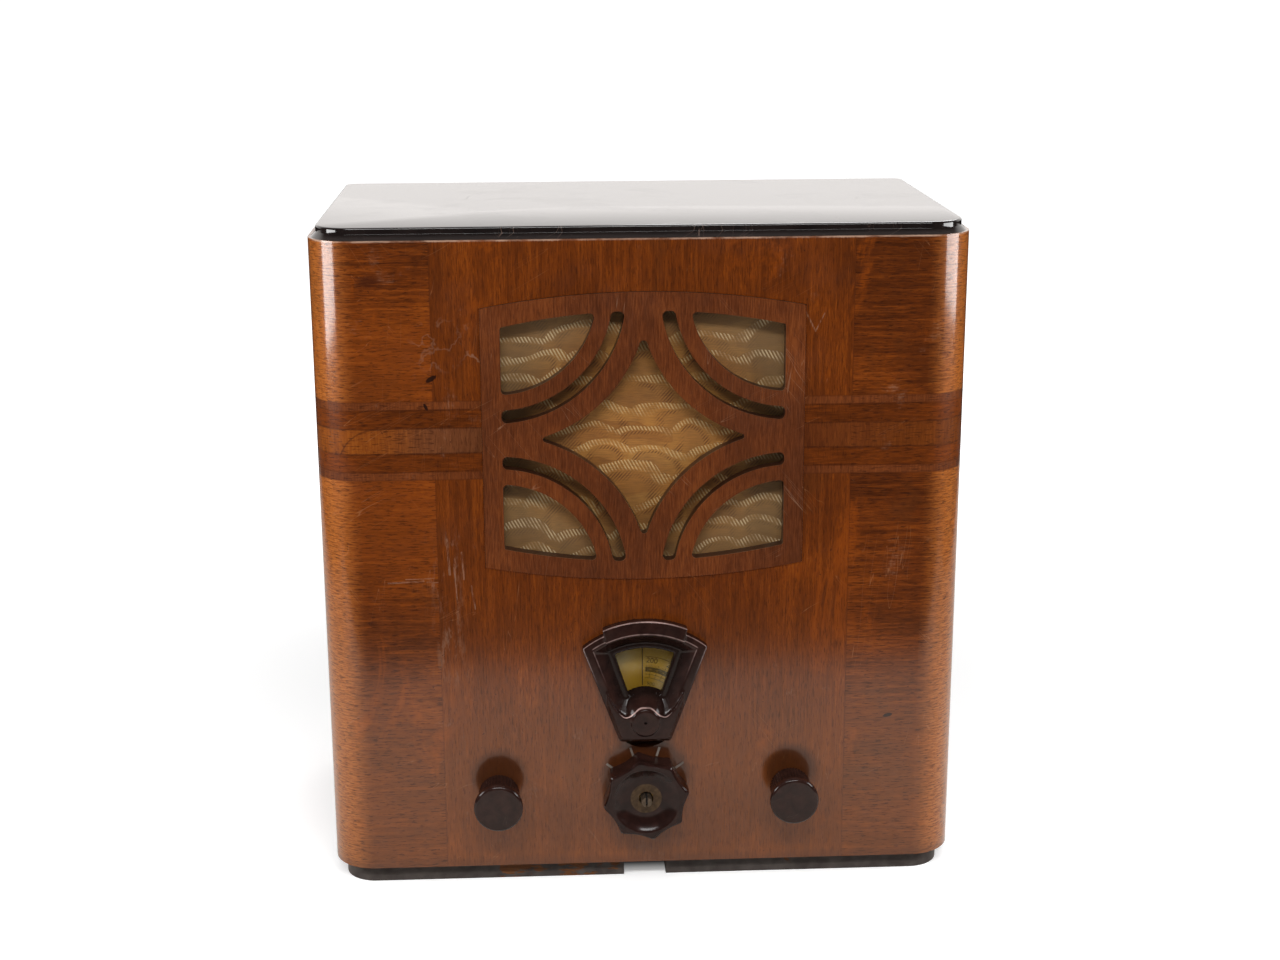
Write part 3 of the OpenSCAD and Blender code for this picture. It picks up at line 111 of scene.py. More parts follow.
class Value:
    """What comes out of a node, a number, a vector or a colour."""

    __add__, __radd__ = arithmetic("ADD")
    __sub__, __rsub__ = arithmetic("SUBTRACT")
    __mul__, __rmul__ = arithmetic("MULTIPLY")
    __truediv__, __rtruediv__ = arithmetic("DIVIDE")
    __pow__, __rpow__ = arithmetic("POWER")

    def __init__(self, tree, socket):
        self.tree, self.socket = tree, socket

    def __abs__(self):
        return self.tree.calc("ABSOLUTE", self)

    def fraction(self):
        return self.tree.calc("FRACT", self)

    def fade(self, low, high, start=0.0, end=1.0):
        """Goes smoothly from start to end as the value goes from low to high."""
        sockets = {"Value": self, "From Min": low, "From Max": high, "To Min": start, "To Max": end}
        return self.tree.value("MapRange", sockets, interpolation_type="SMOOTHSTEP")

    def band(self, low, high, soft):
        """1 where the value lies between low and high, with soft ends."""
        return self.fade(low - soft, low + soft) * self.fade(high - soft, high + soft, 1, 0)

    def split(self):
        """The x, y and z of a vector."""
        return [Value(self.tree, socket) for socket in self.tree.node("SeparateXYZ", {0: self}).outputs]

    def stretch(self, x, y, z):
        return self.tree.value("VectorMath", {0: self, 1: (x, y, z)}, operation="MULTIPLY")

    def turned(self, angle):
        """A vector turned about the Y axis."""
        return self.tree.value("VectorRotate", {"Vector": self, "Angle": angle}, rotation_type="Y_AXIS")

    def distance(self, x, z, widen=1.0):
        """How far a place is from (x, z), seen from the front."""
        sockets = {0: self.stretch(widen, 0, 1), 1: (x, 0, z)}
        return self.tree.value("VectorMath", sockets, "Value", operation="DISTANCE")

    def length(self):
        return self.tree.value("VectorMath", {0: self}, "Value", operation="LENGTH")

    def noise(self, scale=1.0, detail=2.0, roughness=0.5, distortion=0.0):
        sockets = {"Vector": self, "Scale": scale, "Detail": detail, "Roughness": roughness,
                   "Distortion": distortion}
        return self.tree.value("TexNoise", sockets, "Fac")

    def blend(self, first, second):
        """Goes from the first colour to the second as the value goes from 0 to 1."""
        return self.tree.value("Mix", {0: self, 6: seen(first), 7: seen(second)}, 2, data_type="RGBA")

    def ramp(self, *stops):
        """A colour for the value. The stops are positions, each with its colour behind it."""
        node = self.tree.node("ValToRGB", {0: self})
        marks = node.color_ramp.elements
        while 2 * len(marks) < len(stops):
            marks.new(0.5)
        for mark, position, colour in zip(marks, stops[::2], stops[1::2]):
            mark.position, mark.color = position, seen(colour)
        return Value(self.tree, node.outputs[0])

    def bump(self, depth_mm, strength):
        """A normal that follows the value as a height."""
        return self.tree.value("Bump", {"Height": self, "Distance": depth_mm * MM, "Strength": strength})


class Tree:
    """A node tree, with short words for the nodes that a recipe starts from."""

    def __init__(self, tree):
        self.tree = tree

    def node(self, kind, sockets=(), **settings):
        node = self.tree.nodes.new("ShaderNode" + kind)
        for name, value in settings.items():
            setattr(node, name, value)
        for key, value in dict(sockets).items():
            if isinstance(value, Value):
                self.tree.links.new(value.socket, node.inputs[key])
            else:
                node.inputs[key].default_value = value
        return node

    def value(self, kind, sockets=(), output=0, **settings):
        """One output of a new node."""
        return Value(self, self.node(kind, sockets, **settings).outputs[output])

    def calc(self, operation, *values, clamp=False):
        return self.value("Math", enumerate(values), operation=operation, use_clamp=clamp)

    def place(self):
        """Object coordinates in millimetres, as a vector."""
        return self.value("TexCoord", output="Object").stretch(1000, 1000, 1000)

    def join(self, x, y, z):
        return self.value("CombineXYZ", {0: x, 1: y, 2: z})

    def chance(self, x, y, z):
        """A random number from 0 to 1, always the same for the same three numbers."""
        return self.value("TexWhiteNoise", {"Vector": self.join(x, y, z)}, "Value")

    def wave(self, value, length):
        """A sine wave along the value."""
        return self.calc("SINE", value * (2 * math.pi / length))

    def use(self, group, **sockets):
        """All outputs of a node group."""
        return [Value(self, socket) for socket in self.node("Group", sockets, node_tree=group).outputs]


def seen(colour):
    """Turns a colour as a screen shows it into the linear value that shaders add up. Passes others on."""
    if isinstance(colour, Value) or len(colour) == 4:
        return colour
    channels = [c / 255 for c in colour]
    return tuple(c / 12.92 if c <= 0.04045 else ((c + 0.055) / 1.055) ** 2.4 for c in channels) + (1.0,)


def highest(first, *others):
    for other in others:
        first = first.tree.calc("MAXIMUM", first, other)
    return first


def diagonal(one, other):
    """The long side of a right-angled triangle."""
    return one.tree.calc("SQRT", one * one + other * other)


def layers(colour, *coats):
    """Lays coats over a colour, one after another. Each coat is its mask and its colour."""
    for mask, coat in coats:
        colour = mask.blend(colour, coat)
    return colour


def new_finish(name, recipe):
    """A material whose recipe, given its tree, returns the shader."""
    material = bpy.data.materials.new(name)
    material.use_nodes = True
    material.node_tree.nodes.clear()
    tree = Tree(material.node_tree)
    tree.node("OutputMaterial", {"Surface": recipe(tree)})
    return material


def new_effect(name, numbers, outputs, recipe):
    """A node group that takes a place and some numbers. Its recipe returns one value for each output."""
    group = bpy.data.node_groups.new(name, "ShaderNodeTree")
    group.interface.new_socket("Place", in_out="INPUT", socket_type="NodeSocketVector")
    for key, start in numbers.items():
        group.interface.new_socket(key, in_out="INPUT", socket_type="NodeSocketFloat").default_value = start
    for key in outputs:
        group.interface.new_socket(key, in_out="OUTPUT", socket_type="NodeSocketFloat")
    tree = Tree(group)
    entry = group.nodes.new("NodeGroupInput").outputs
    results = recipe(tree, *(Value(tree, entry[key]) for key in ("Place", *numbers)))
    ends = group.nodes.new("NodeGroupOutput").inputs
    for key, result in zip(outputs, results):
        group.links.new(result.socket, ends[key])
    return group


# %% [markdown]
# ## Wood figure
# Veneer is a thin slice of a trunk. Its look has three layers of detail: slow clouds and bands where the
# slice cuts the year rings, fine lines along the grain, and short dark flecks, the pores. Each is a noise
# whose place has been stretched along the grain, and the slow one also bends the other two, as a knot does.
# One node group makes them all, so that sides, front, fretwork and bare boards differ only in its numbers.

# %% Wood figure effect
def wood_figure_recipe(tree, place, wave, fineness):
    along, across, depth = place.split()
    slow = tree.join(along * 0.011, across * 0.019, depth * 0.01).noise(1, 4, 0.6, 0.4)
    row = across + (slow - 0.5) * wave
    band = tree.join(along * 0.012, row * 0.17, depth).noise(1, 3, 0.6)
    fine = tree.join(along * 0.1, row * fineness, depth * 0.05).noise(1, 5, 0.75)
    fleck = tree.join(along * 0.16, row * 1.3, depth).noise(1, 2, 0.6).fade(0.54, 0.64)
    return slow * 0.4 + (band * 0.12 + fine * 0.48), fine, fleck


WOOD_FIGURE = new_effect("wood figure", {"Wave": 5.0, "Fineness": 0.9}, ("Figure", "Fine", "Fleck"),
                         wood_figure_recipe)


def wood_figure(tree, along, across, depth, wave, fineness):
    """Figure, fine lines and flecks of a wood whose grain runs along the first number."""
    return tree.use(WOOD_FIGURE, Place=tree.join(along, across, depth), Wave=wave, Fineness=fineness)


print("wood figure:", len(WOOD_FIGURE.nodes), "nodes")

# %% [markdown]
# ## Wear
# Ninety years leave fine scratches, rubbed patches and specks of dirt. Scratches are long thin contour
# lines of a stretched noise, broken up by a second noise so that they start and stop. Three directions laid
# over each other stop them from looking combed.

# %% Wear effect
SCRATCH_WAYS = ((0.5, 11.0), (-0.9, 47.0), (1.45, 83.0))  # angle, and a number that sets each apart


def wear_recipe(tree, place, amount):
    scratches = []
    for angle, seed in SCRATCH_WAYS:
        moved = tree.value("VectorMath", {0: place.turned(angle), 1: (seed, seed, seed)}, operation="ADD")
        line = abs(moved.stretch(0.006, 0.02, 0.11).noise(1, 2, 0.55) - 0.5).fade(0, 0.0035, 1, 0)
        scratches.append(line * moved.noise(0.021).fade(0.56, 0.66))
    rub = place.noise(0.017, 4, 0.62).fade(0.5, 0.68)
    speck = place.noise(0.42, 2, 0.6).fade(0.72, 0.78)
    return highest(*scratches) * amount, rub, speck


WEAR = new_effect("wear", {"Scratches": 1.0}, ("Scratch", "Rub", "Speck"), wear_recipe)
print("wear:", len(WEAR.nodes), "nodes")

# %% [markdown]
# ## The inlaid bands
# Level with the middle of the grille, bands of another veneer run from the fretwork to the cabinet's edges:
# a pale strip between two dark streaked ones, with fine dark lines where they meet. They are inlaid flush,
# so they belong in the finish and not in the shape. The group gives the pale strip, the dark strips and the
# joint lines as masks, from the height above the grille's middle and the distance from the centre line.

# %% Inlay effect
INLAY_PALE, INLAY_DARK, INLAY_OUTER = 7.2, 18.0, 22.5
INLAY_LINES = ((INLAY_PALE, 0.8), (INLAY_DARK - 0.3, 0.65), (INLAY_OUTER, 0.35))  # height and strength


def inlay_recipe(tree, place):
    x, y, z = place.split()
    height = abs(z - GRILLE_MID) + (place.noise(0.03) - 0.5) * 1.2
    outside = abs(x).fade(FRET_HALF_W - 0.6, FRET_HALF_W)
    pale = height.fade(INLAY_PALE - 0.3, INLAY_PALE + 0.3, 1, 0)
    dark = height.band(INLAY_PALE, INLAY_DARK, 0.3)
    strip = height.band(INLAY_DARK, INLAY_OUTER, 0.3)
    lines = highest(*(abs(height - level).fade(0.25, 0.75, strength, 0) for level, strength in INLAY_LINES))
    return [mask * outside for mask in (pale, dark, strip, lines)]


INLAY = new_effect("inlaid bands", {}, ("Pale", "Dark", "Strip", "Lines"), inlay_recipe)
print("inlay:", len(INLAY.nodes), "nodes")

# %% [markdown]
# ## Polished veneer
# The sides carry a dark veneer with its grain level, wrapped round the front corners. The middle panel is a
# warmer veneer with its grain upright. For the wrapped veneer, the distance along the surface is the
# distance from the centre line plus the distance back, which grows steadily round the corner. Old spirit
# polish is a clear coat over the wood, worn to a satin.
#
# An old veneer is never even, so the colour is laid on in coats: streaks and blotches from slow noises. Light
# is
# painted in as well: a painted shade towards the upper right, painted light on the upper part of the left
# side, a pale painted reflection of the table low on the front, and painted highlights on the rounded
# corners. Then
# comes what ninety years have done: scuffs and chalky marks beside the seam, chips with dark filler and a top
# edge rubbed bare. A painted shade above the knobs stands for their shadow and dark reflection. Single marks
# have a place of their own, so they stand in short lists.

# %% Veneer finishes
LEVEL_TONES = (0.37, (52, 21, 3), 0.45, (82, 36, 6), 0.53, (104, 47, 8), 0.63, (134, 66, 12))
UPRIGHT_TONES = (0.37, (72, 32, 7), 0.46, (92, 41, 7), 0.54, (106, 48, 7), 0.63, (136, 66, 10))
LEVEL_MARKS = (((-146, 188.5), (-126, 189.3), 0.7), ((-124, 188.6), (-108, 188.0), 0.5),
               ((-136, 190.5), (-120, 190.8), 0.4))  # from, to and width
UPRIGHT_MARKS = (((90, 343), (96, 331), 0.6), ((96, 331), (101, 341), 0.5), ((-112, 214), (-111, 193), 0.9),
                 ((-104, 206), (-103, 190), 0.7), ((-108.5, 199), (-107, 176), 0.7),
                 ((-99, 186), (-97, 172), 0.6))
CHALK_RINGS = ((-84, 317, 0.45), (-114, 326, 0.22))  # x, z and strength
CHIPS = ((-118.0, 307.0, 0.55, 1.05), (-121.5, 291.0, -1.1, 1.6),
         (143.0, 101.0, 0.2, 1.3))  # x, z, tilt, fineness
# Painted shade above each knob, in place of its shadow and dark reflection in the polish
SHADE_ABOVE_KNOBS = ((-KNOB_X, KNOB_Z + 11, 14.0), (KNOB_X, KNOB_Z + 11, 14.0),
         (0.0, WAVE_MID + 8, 25.0))  # x, z and radius


def polished(colour, roughness, normal, coat=0.0, coat_roughness=0.12):
    """A surface with little shine of its own, under a clear coat where the real one was polished."""
    sockets = {"Base Color": colour, "Roughness": roughness, "Normal": normal, "Coat Weight": coat,
               "Coat Roughness": coat_roughness, "Specular IOR Level": 0.12}
    return normal.tree.value("BsdfPrincipled", sockets)


def wear(place, scratches):
    return place.tree.use(WEAR, Place=place, Scratches=scratches)


def line_mark(x, z, start, end, width):
    """A short straight mark on the front between two (x, z) places, 1 on its line."""
    run, rise = end[0] - start[0], end[1] - start[1]
    length = run ** 2 + rise ** 2
    along = highest((x - start[0]) * (run / length) + (z - start[1]) * (rise / length), 0)
    along = x.tree.calc("MINIMUM", along, 1)
    far = diagonal(x - (along * run + start[0]), z - (along * rise + start[1]))
    return far.fade(width * 0.4, width, 1, 0)


def inlay_coats(place, fine):
    """The inlaid bands: two dark strips, the pale one with a curved crack, and the joint lines."""
    tree = place.tree
    x, y, z = place.split()
    reach = abs(x)
    pale, dark, strip, lines = tree.use(INLAY, Place=place)
    cross = wood_figure(tree, z, reach, 7, 1.0, 0.9)[0]
    level = wood_figure(tree, reach, z, 31, 1.5, 1.0)[0]
    right = x.fade(-40, 40)
    golden = right.blend(cross.ramp(0.38, (106, 50, 10), 0.62, (146, 78, 22)),
                         cross.ramp(0.38, (84, 38, 6), 0.62, (120, 60, 16)))
    dusky = right.blend(cross.ramp(0.38, (84, 44, 20), 0.62, (116, 66, 36)),
                        cross.ramp(0.38, (78, 34, 9), 0.62, (112, 56, 18)))
    crack = diagonal(reach - 150, z - (GRILLE_MID - 14)).band(20.4, 21.2, 0.3)
    seam = abs(reach - SEAM).fade(0.15, 0.6, 1, 0) * fine.fade(0.35, 0.6, 0, 0.4)
    return ((strip, cross.ramp(0.38, (80, 37, 14), 0.62, (122, 63, 26))),
            (dark, level.ramp(0.38, (58, 24, 3), 0.5, (94, 42, 6), 0.62, (124, 58, 10))),
            (pale, (reach + cross * 40).fade(138, 172).blend(dusky, golden)),
            (crack * (pale * x.fade(-150, -140, 0.6, 0)), (70, 34, 12)),
            (lines * fine.fade(0.35, 0.6, 0.2, 0.8), (44, 18, 6)),
            (seam * (1 - highest(pale, dark)), (50, 24, 12)))


def age_coats(place, figure, fine, marks):
    """Scuffs, chalky marks, scratches and specks, then chips, a knot, and painted shade above the knobs."""
    tree = place.tree
    x, y, z = place.split()
    front_only = y.fade(FRONT + 4, FRONT + 5, 1, 0)
    scratch, rub, speck = wear(place, 0.6)
    scuff = place.noise(0.035, 5, 0.7).fade(0.62, 0.74) * fine.fade(0.42, 0.62, 0, 0.4)
    beside_seam = (abs(x + 112) - rub * 14).fade(-3, 14, 1, 0) * z.band(132, 214, 12)
    chalk = beside_seam * place.stretch(0.22, 0.22, 0.06).noise(1, 5, 0.7).fade(0.5, 0.66, 0, 0.5)
    contour = abs(place.noise(0.07, 3) - 0.5)
    for ring_x, ring_z, strength in CHALK_RINGS:
        ring = contour.fade(0, 0.03, strength, 0) * place.distance(ring_x, ring_z).fade(11, 18, 1, 0)
        chalk = highest(chalk, ring)
    for start, end, width in marks:
        chalk = highest(chalk, line_mark(x, z, start, end, width) * fine.fade(0.45, 0.55, 0.05, 0.6))
    coats = [(highest(scuff, chalk * front_only), (142, 108, 86)), (scratch * 0.5, (166, 112, 74)),
             (speck * 0.6, (36, 18, 10))]
    for chip_x, chip_z, tilt, fineness in CHIPS:
        away = tree.join(x - chip_x, 0, z - chip_z).turned(tilt)
        away = away.stretch(0.24 * fineness, 0, 0.62 * fineness).length()
        coats.append(((fine * 0.7 + away).fade(1.1, 1.35, 0.92, 0) * front_only, (26, 13, 7)))
    knot = figure * 8 + place.distance(-90, 362, 0.6)
    coats.append((knot.fade(5, 10, 0.65, 0), (52, 20, 8)))
    # painted shade above the knobs, standing in for their shadow and dark reflection in the polish
    for shade_x, shade_z, radius in SHADE_ABOVE_KNOBS:
        coats.append((place.distance(shade_x, shade_z).fade(radius - 3, radius + 5, 0.8, 0), (54, 26, 11)))
    return coats, rub


def veneer(tree, level_grain):
    place = tree.place()
    x, y, z = place.split()
    reach = abs(x)
    if level_grain:
        along, across = reach + y + tree.calc("SIGN", x) * 400, z
        tones, flecks, marks = LEVEL_TONES, 0.6, LEVEL_MARKS
    else:
        along, across = z, x
        tones, flecks, marks = UPRIGHT_TONES, 0.4, UPRIGHT_MARKS
    figure, fine, fleck = wood_figure(tree, along, across, 0, 3.0, 1.1)
    streak = tree.join(along, across, 0).stretch(0.02, 0.4, 0).noise(1, 4, 0.62, 0.25)
    blotch = place.stretch(0.03, 0.03, 0.014).noise(1, 5, 0.7, 0.6)
    shade = (z * 0.5 + x).fade(270, 340, 0, 0.45) * place.noise(0.02, 3).fade(0.35, 0.6, 0.2, 1)
    coats = [(streak.fade(0.51, 0.64, 0, flecks * 0.8), (54, 21, 3)),
             (streak.fade(0.36, 0.47, flecks * 0.5, 0), (148, 74, 18)),
             (shade, (44, 18, 4)),
             (blotch.fade(0.56, 0.68, 0, 0.5), (142, 66, 8)),
             (blotch.fade(0.32, 0.44, 0.45, 0), (84, 42, 14))]
    if level_grain:
        # Painted light: the upper part of the left side is painted lighter, as if lit from the left
        coats.append((x.fade(-120, -80, 0.26, 0) * z.band(195, 340, 25), (156, 76, 18)))
    # Painted reflection: paler towards the foot, where the white table mirrors in the polish
    coats.append((z.fade(50, 190, 0.32, 0), (140, 82, 38)))
    # Painted highlight: pale upright strips on the rounded front corners, crossed by the fine grain
    corner = reach.fade(158, 176, 0, 0.62) * y.fade(FRONT + 14, FRONT + 36, 1, 0)
    coats.append((corner, fine.fade(0.35, 0.6).blend((134, 68, 20), (196, 116, 48))))
    age, rub = age_coats(place, figure, fine, marks)
    coats += [*inlay_coats(place, fine), (fleck * flecks, (38, 14, 2)), *age]
    bare_edge = (z + fine * 1.6).fade(BODY_TOP - 0.35, BODY_TOP + 0.35)
    coats.append((bare_edge * place.noise(0.05, 4, 0.65).fade(0.4, 0.6, 0.15, 0.8), (186, 152, 130)))
    coats.append((z.fade(BODY_FOOT + 1, BODY_FOOT + 7, 0.35, 0), (70, 40, 26)))
    normal = (fine * 0.6 - fleck * 0.5).bump(0.09, 0.6)
    coat = fine.fade(0.34, 0.5, 0.6, 1)
    return polished(layers(figure.ramp(*tones), *coats), rub.fade(0, 1, 0.36, 0.5), normal, coat, 0.13)


def fret_wood(tree):
    """Plywood: polished on its face, layered in its sawn walls and darkened there by painted shade, pale
    along their edges from wear and a painted highlight.
    """
    place = tree.place()
    x, y, z = place.split()
    figure, fine, fleck = wood_figure(tree, z, x, y, 5.0, 1.2)
    scratch, rub = wear(place, 0.6)[:2]
    depth = y - FRONT
    # the sawn walls show their plies, darkened by painted shade
    shaded_plies = (depth * 0.45).fraction().fade(0.35, 0.65).blend((26, 15, 10), (52, 32, 22))
    # pale edges: partly rubbed wear, partly a painted highlight
    arris = depth.band(-0.72, -0.35, 0.12) * fine.fade(0.35, 0.6, 0.1, 0.6)
    colour = layers(figure.ramp(0.38, (66, 29, 8), 0.5, (90, 41, 12), 0.62, (116, 57, 18)),
                    (fleck * 0.3, (48, 21, 8)), (depth.fade(-0.3, 0.5, 0, 0.85), shaded_plies),
                    (arris, (150, 116, 92)), (scratch * 0.4, (180, 140, 112)))
    return polished(colour, rub.fade(0, 1, 0.4, 0.52), (fine * 0.6 - fleck * 0.5).bump(0.08, 0.5), 0.25)


SIDE_VENEER = new_finish("level grain veneer", lambda tree: veneer(tree, True))
FRONT_VENEER = new_finish("upright grain veneer", lambda tree: veneer(tree, False))
FRET_WOOD = new_finish("fretwork plywood", fret_wood)
print("veneers:", SIDE_VENEER.name, "and", FRONT_VENEER.name)

# %% [markdown]
# ## Black polish, worn paint and bare boards
# The top is polished black and mirrors the pale room. The plinth was painted black and has been kicked down
# to the brown wood in places. Boards that nobody was meant to see are left bare.

# %% Other wood finishes
def black_polish(tree):
    x, y, z = tree.place().split()
    fine = wood_figure(tree, x, y, z, 6.0, 0.9)[1]
    scratch, rub, speck = wear(tree.join(x, z, y), 1.0)
    # The moulding's foot is painted greyer: partly dust, partly a painted reflection of the pale room
    colour = layers(fine.ramp(0.3, (17, 13, 13), 0.7, (34, 26, 24)), (scratch * 0.6, (120, 96, 84)),
                    (speck * 0.5, (96, 84, 78)), (z.fade(BODY_TOP + 0.2, BODY_TOP + 3, 0.4, 0), (70, 64, 62)))
    return polished(colour, rub.fade(0, 1, 0.12, 0.2) + scratch * 0.3, fine.bump(0.012, 0.3), 1.0, 0.06)


def worn_paint(tree):
    place = tree.place()
    x, y, z = place.split()
    grain = wood_figure(tree, x, z, y, 3.0, 1.2)[1]
    kicked = 0.66 - x.band(-88, -14, 3) * 0.16
    gone = (place.stretch(0.05, 0.05, 0.16).noise(1, 4, 0.65) - kicked).fade(-0.02, 0.03)
    paint = place.noise(0.12, 3).ramp(0.35, (68, 61, 58), 0.7, (88, 81, 77))
    colour = gone.blend(paint, grain.ramp(0.3, (72, 42, 24), 0.7, (128, 84, 52)))
    return polished(colour, gone.fade(0, 1, 0.42, 0.6), (grain * 0.3 - gone).bump(0.15, 0.6))


def bare_wood(tree):
    place = tree.place()
    x, y, z = place.split()
    figure, fine, fleck = wood_figure(tree, x, z, y, 16.0, 0.6)
    colour = layers(figure.ramp(0.38, (132, 96, 58), 0.62, (186, 146, 98)), (fleck * 0.35, (104, 72, 42)),
                    (place.noise(0.02, 4).fade(0.5, 0.7, 0, 0.4), (110, 84, 60)))
    return polished(colour, 0.78, fine.bump(0.12, 0.6))


def pressed_board(tree):
    place = tree.place()
    fibres = place.stretch(0.9, 0.9, 0.25).noise(1, 5, 0.7)
    rim = abs(place.split()[0]).fade(HALF_W - 26, HALF_W - 12, 0, 0.35)
    colour = layers(fibres.ramp(0.3, (86, 60, 38), 0.7, (134, 100, 66)),
                    (place.noise(0.02, 3).fade(0.4, 0.7, 0, 0.4), (84, 60, 42)), (rim, (62, 44, 32)))
    return polished(colour, 0.82, fibres.bump(0.2, 0.7))


BLACK_POLISH = new_finish("black polish", black_polish)
WORN_PAINT = new_finish("worn black paint", worn_paint)
BARE_WOOD = new_finish("bare board", bare_wood)
PRESSED_BOARD = new_finish("pressed board", pressed_board)
print("other woods:", BLACK_POLISH.name, WORN_PAINT.name, BARE_WOOD.name, PRESSED_BOARD.name)

# %% [markdown]
# ## Brown moulding resin
# The escutcheon and knobs are pressed from brown phenolic resin. Its filler shows as a faint mottle, dust
# sits in its hollows and handling leaves a satin. A little red in the dark colour keeps it from looking like
# black plastic. On the escutcheon, thin painted highlights run along the raised edges as bright lines. They
# are too fine to be caught by a bevel, so the finish draws them from the same outline numbers as the shape,
# and it paints shade into the funnel, darker the further back a surface lies. The octagonal knob has a dull
# hub ring in its dish, drawn as a disc about the knob's axis.

# %% Moulded finishes
FOOT_HALF_W, FOOT_DROP, SIDE_SLOPE = 15.0, 13.5, math.radians(20.3)
LIP_LEVEL, LIP_HUMP, LIP_HUMP_W, LIP_RISE, LIP_RISE_FROM, LIP_RISE_W = 3.0, 5.9, 7, 1.9, 11.4, 3
RESIN_DARK, RESIN_LIGHT = (34, 19, 16), (48, 28, 23)


def moulded(dark, light, dust, edges=None, coat=0.35):
    def recipe(tree):
        place = tree.place()
        mottle = place.noise(0.16, 3, 0.55, 0.5)
        film = place.noise(0.07, 4, 0.65).fade(0.45, 0.75, 0, dust)
        coats = [(film, (84, 72, 64)), (wear(place, 0.4)[0] * 0.2, (120, 100, 88))]
        if edges:
            proud = FRONT - place.split()[1]
            # painted shade: darker the further back a surface lies, in the funnel and along the foot of the
            # walls
            coats += [(proud.fade(0.5, 5.4, 0.7, 0), (17, 11, 9)),
                      # painted highlight lines along the raised edges
                      (edges(place) * mottle.fade(0.36, 0.56, 0.55, 1), (206, 172, 164))]
        colour = layers(mottle.ramp(0.35, dark, 0.7, light), *coats)
        return polished(colour, film * 1.2 + 0.2, place.noise(1.6).bump(0.006, 0.3), coat, 0.07)
    return recipe


def escutcheon_edges(place):
    """1 along the escutcheon's raised edges, where the finish paints thin highlight lines."""
    x, y, z = place.split()
    reach, up, proud = abs(x), z - DIAL_MID, FRONT - y
    radius = diagonal(x, up)
    tab = radius.band(60.75, 62, 0.2) * proud.fade(6.6, 7.4, 0, 0.6) * reach.fade(6, 24, 1, 0.45)
    shoulder = radius.band(56.9, 57.7, 0.2) * proud.band(5.2, 6.3, 0.3) * 0.42
    mouth = radius.band(53.4, 54, 0.2) * proud.fade(5.3, 5.8, 0, 0.3) * reach.fade(29.5, 31, 1, 0)
    side = (reach - FOOT_HALF_W) * math.cos(SIDE_SLOPE) - (up + FOOT_DROP) * math.sin(SIDE_SLOPE)
    outer = side.band(-1.1, 0.2, 0.2) * proud.fade(5.2, 5.8, 0, 0.32)
    inner = side.band(-6, -5.4, 0.2) * proud.fade(5.2, 5.8, 0, 0.2) * radius.fade(51.5, 53, 1, 0)
    hump = place.tree.calc("EXPONENT", (reach / LIP_HUMP_W) ** 3.2 * -1)
    rise = highest((reach - LIP_RISE_FROM) / LIP_RISE_W, 0) ** 1.6
    lip = (up - (LIP_LEVEL + (hump * LIP_HUMP + rise * LIP_RISE))).band(-0.32, 0.4, 0.2)
    lip = lip * proud.fade(7.9, 8.6) * reach.fade(12.5, 15.5, 0.95, 0) * reach.fade(1, 7, 0.5, 1)
    return highest(highest(tab, shoulder, mouth, outer, inner) * up.fade(20, 42), lip)


def wave_knob_resin(tree):
    place = tree.place()
    x, y, z = place.split()
    mottle = place.noise(0.16, 3, 0.55, 0.5)
    resin = mottle.ramp(0.35, (31, 17, 14), 0.7, (44, 25, 21))
    ring = place.noise(0.5, 4).ramp(0.35, (56, 40, 24), 0.7, (82, 62, 40))
    hub = diagonal(x, z - WAVE_MID).fade(8.9, 9.3, 1, 0)
    return polished(hub.blend(resin, ring), hub.fade(0, 1, 0.17, 0.5), mottle.bump(0.02, 0.2), 0.24, 0.18)


BROWN_RESIN = new_finish("brown resin", moulded(RESIN_DARK, RESIN_LIGHT, 0.05))
BLACK_RESIN = new_finish("black resin", moulded((17, 15, 15), (30, 27, 27), 0.12))
ESCUTCHEON_RESIN = new_finish("brown resin with painted edge highlights",
                              moulded(RESIN_DARK, RESIN_LIGHT, 0.05, escutcheon_edges, 0.2))
WAVE_RESIN = new_finish("brown resin with hub ring", wave_knob_resin)
print("resins:", BROWN_RESIN.name, BLACK_RESIN.name)

# %% [markdown]
# ## Metals, glass, paper and rubber
# Most of these sit inside and are seen only through the vents, but each gets its own surface: brushed lines
# for sheet steel, fine turning marks for aluminium, dull spots for brass, fibres for paper. The end of the
# tuning spindle is turned steel gone brown, with painted shade in its slot.

# %% Metal and small finishes
def metal(dark, light, roughness, stretch=(0.2, 0.2, 3.0)):
    def recipe(tree):
        place = tree.place()
        brushed = place.stretch(*stretch).noise(1, 4, 0.6)
        dull = place.noise(0.06, 4).fade(0.42, 0.7)
        sockets = {"Base Color": (dull * 0.6).blend(light, dark), "Metallic": 1.0,
                   "Roughness": dull * 0.22 + brushed * roughness, "Normal": brushed.bump(0.01, 0.4)}
        return tree.value("BsdfPrincipled", sockets)
    return recipe


def spindle_metal(tree):
    place = tree.place()
    turned = place.stretch(3, 0.2, 3).noise(1, 4, 0.6)
    # painted shade in the slot: dark and not metallic
    slot = abs(place.split()[0]).fade(0.5, 0.75, 1, 0)
    colour = layers(turned.ramp(0.35, (58, 48, 38), 0.7, (128, 112, 96)), (slot, (20, 15, 12)))
    sockets = {"Base Color": colour, "Metallic": slot.fade(0, 1, 0.85, 0),
               "Roughness": turned.fade(0.3, 0.7, 0.42, 0.62), "Normal": turned.bump(0.01, 0.4)}
    return tree.value("BsdfPrincipled", sockets)


def enamel(dark, light):
    def recipe(tree):
        place = tree.place()
        colour = place.noise(0.07, 4).ramp(0.35, dark, 0.7, light)
        return polished(colour, 0.4, place.noise(0.7).bump(0.05, 0.4))
    return recipe


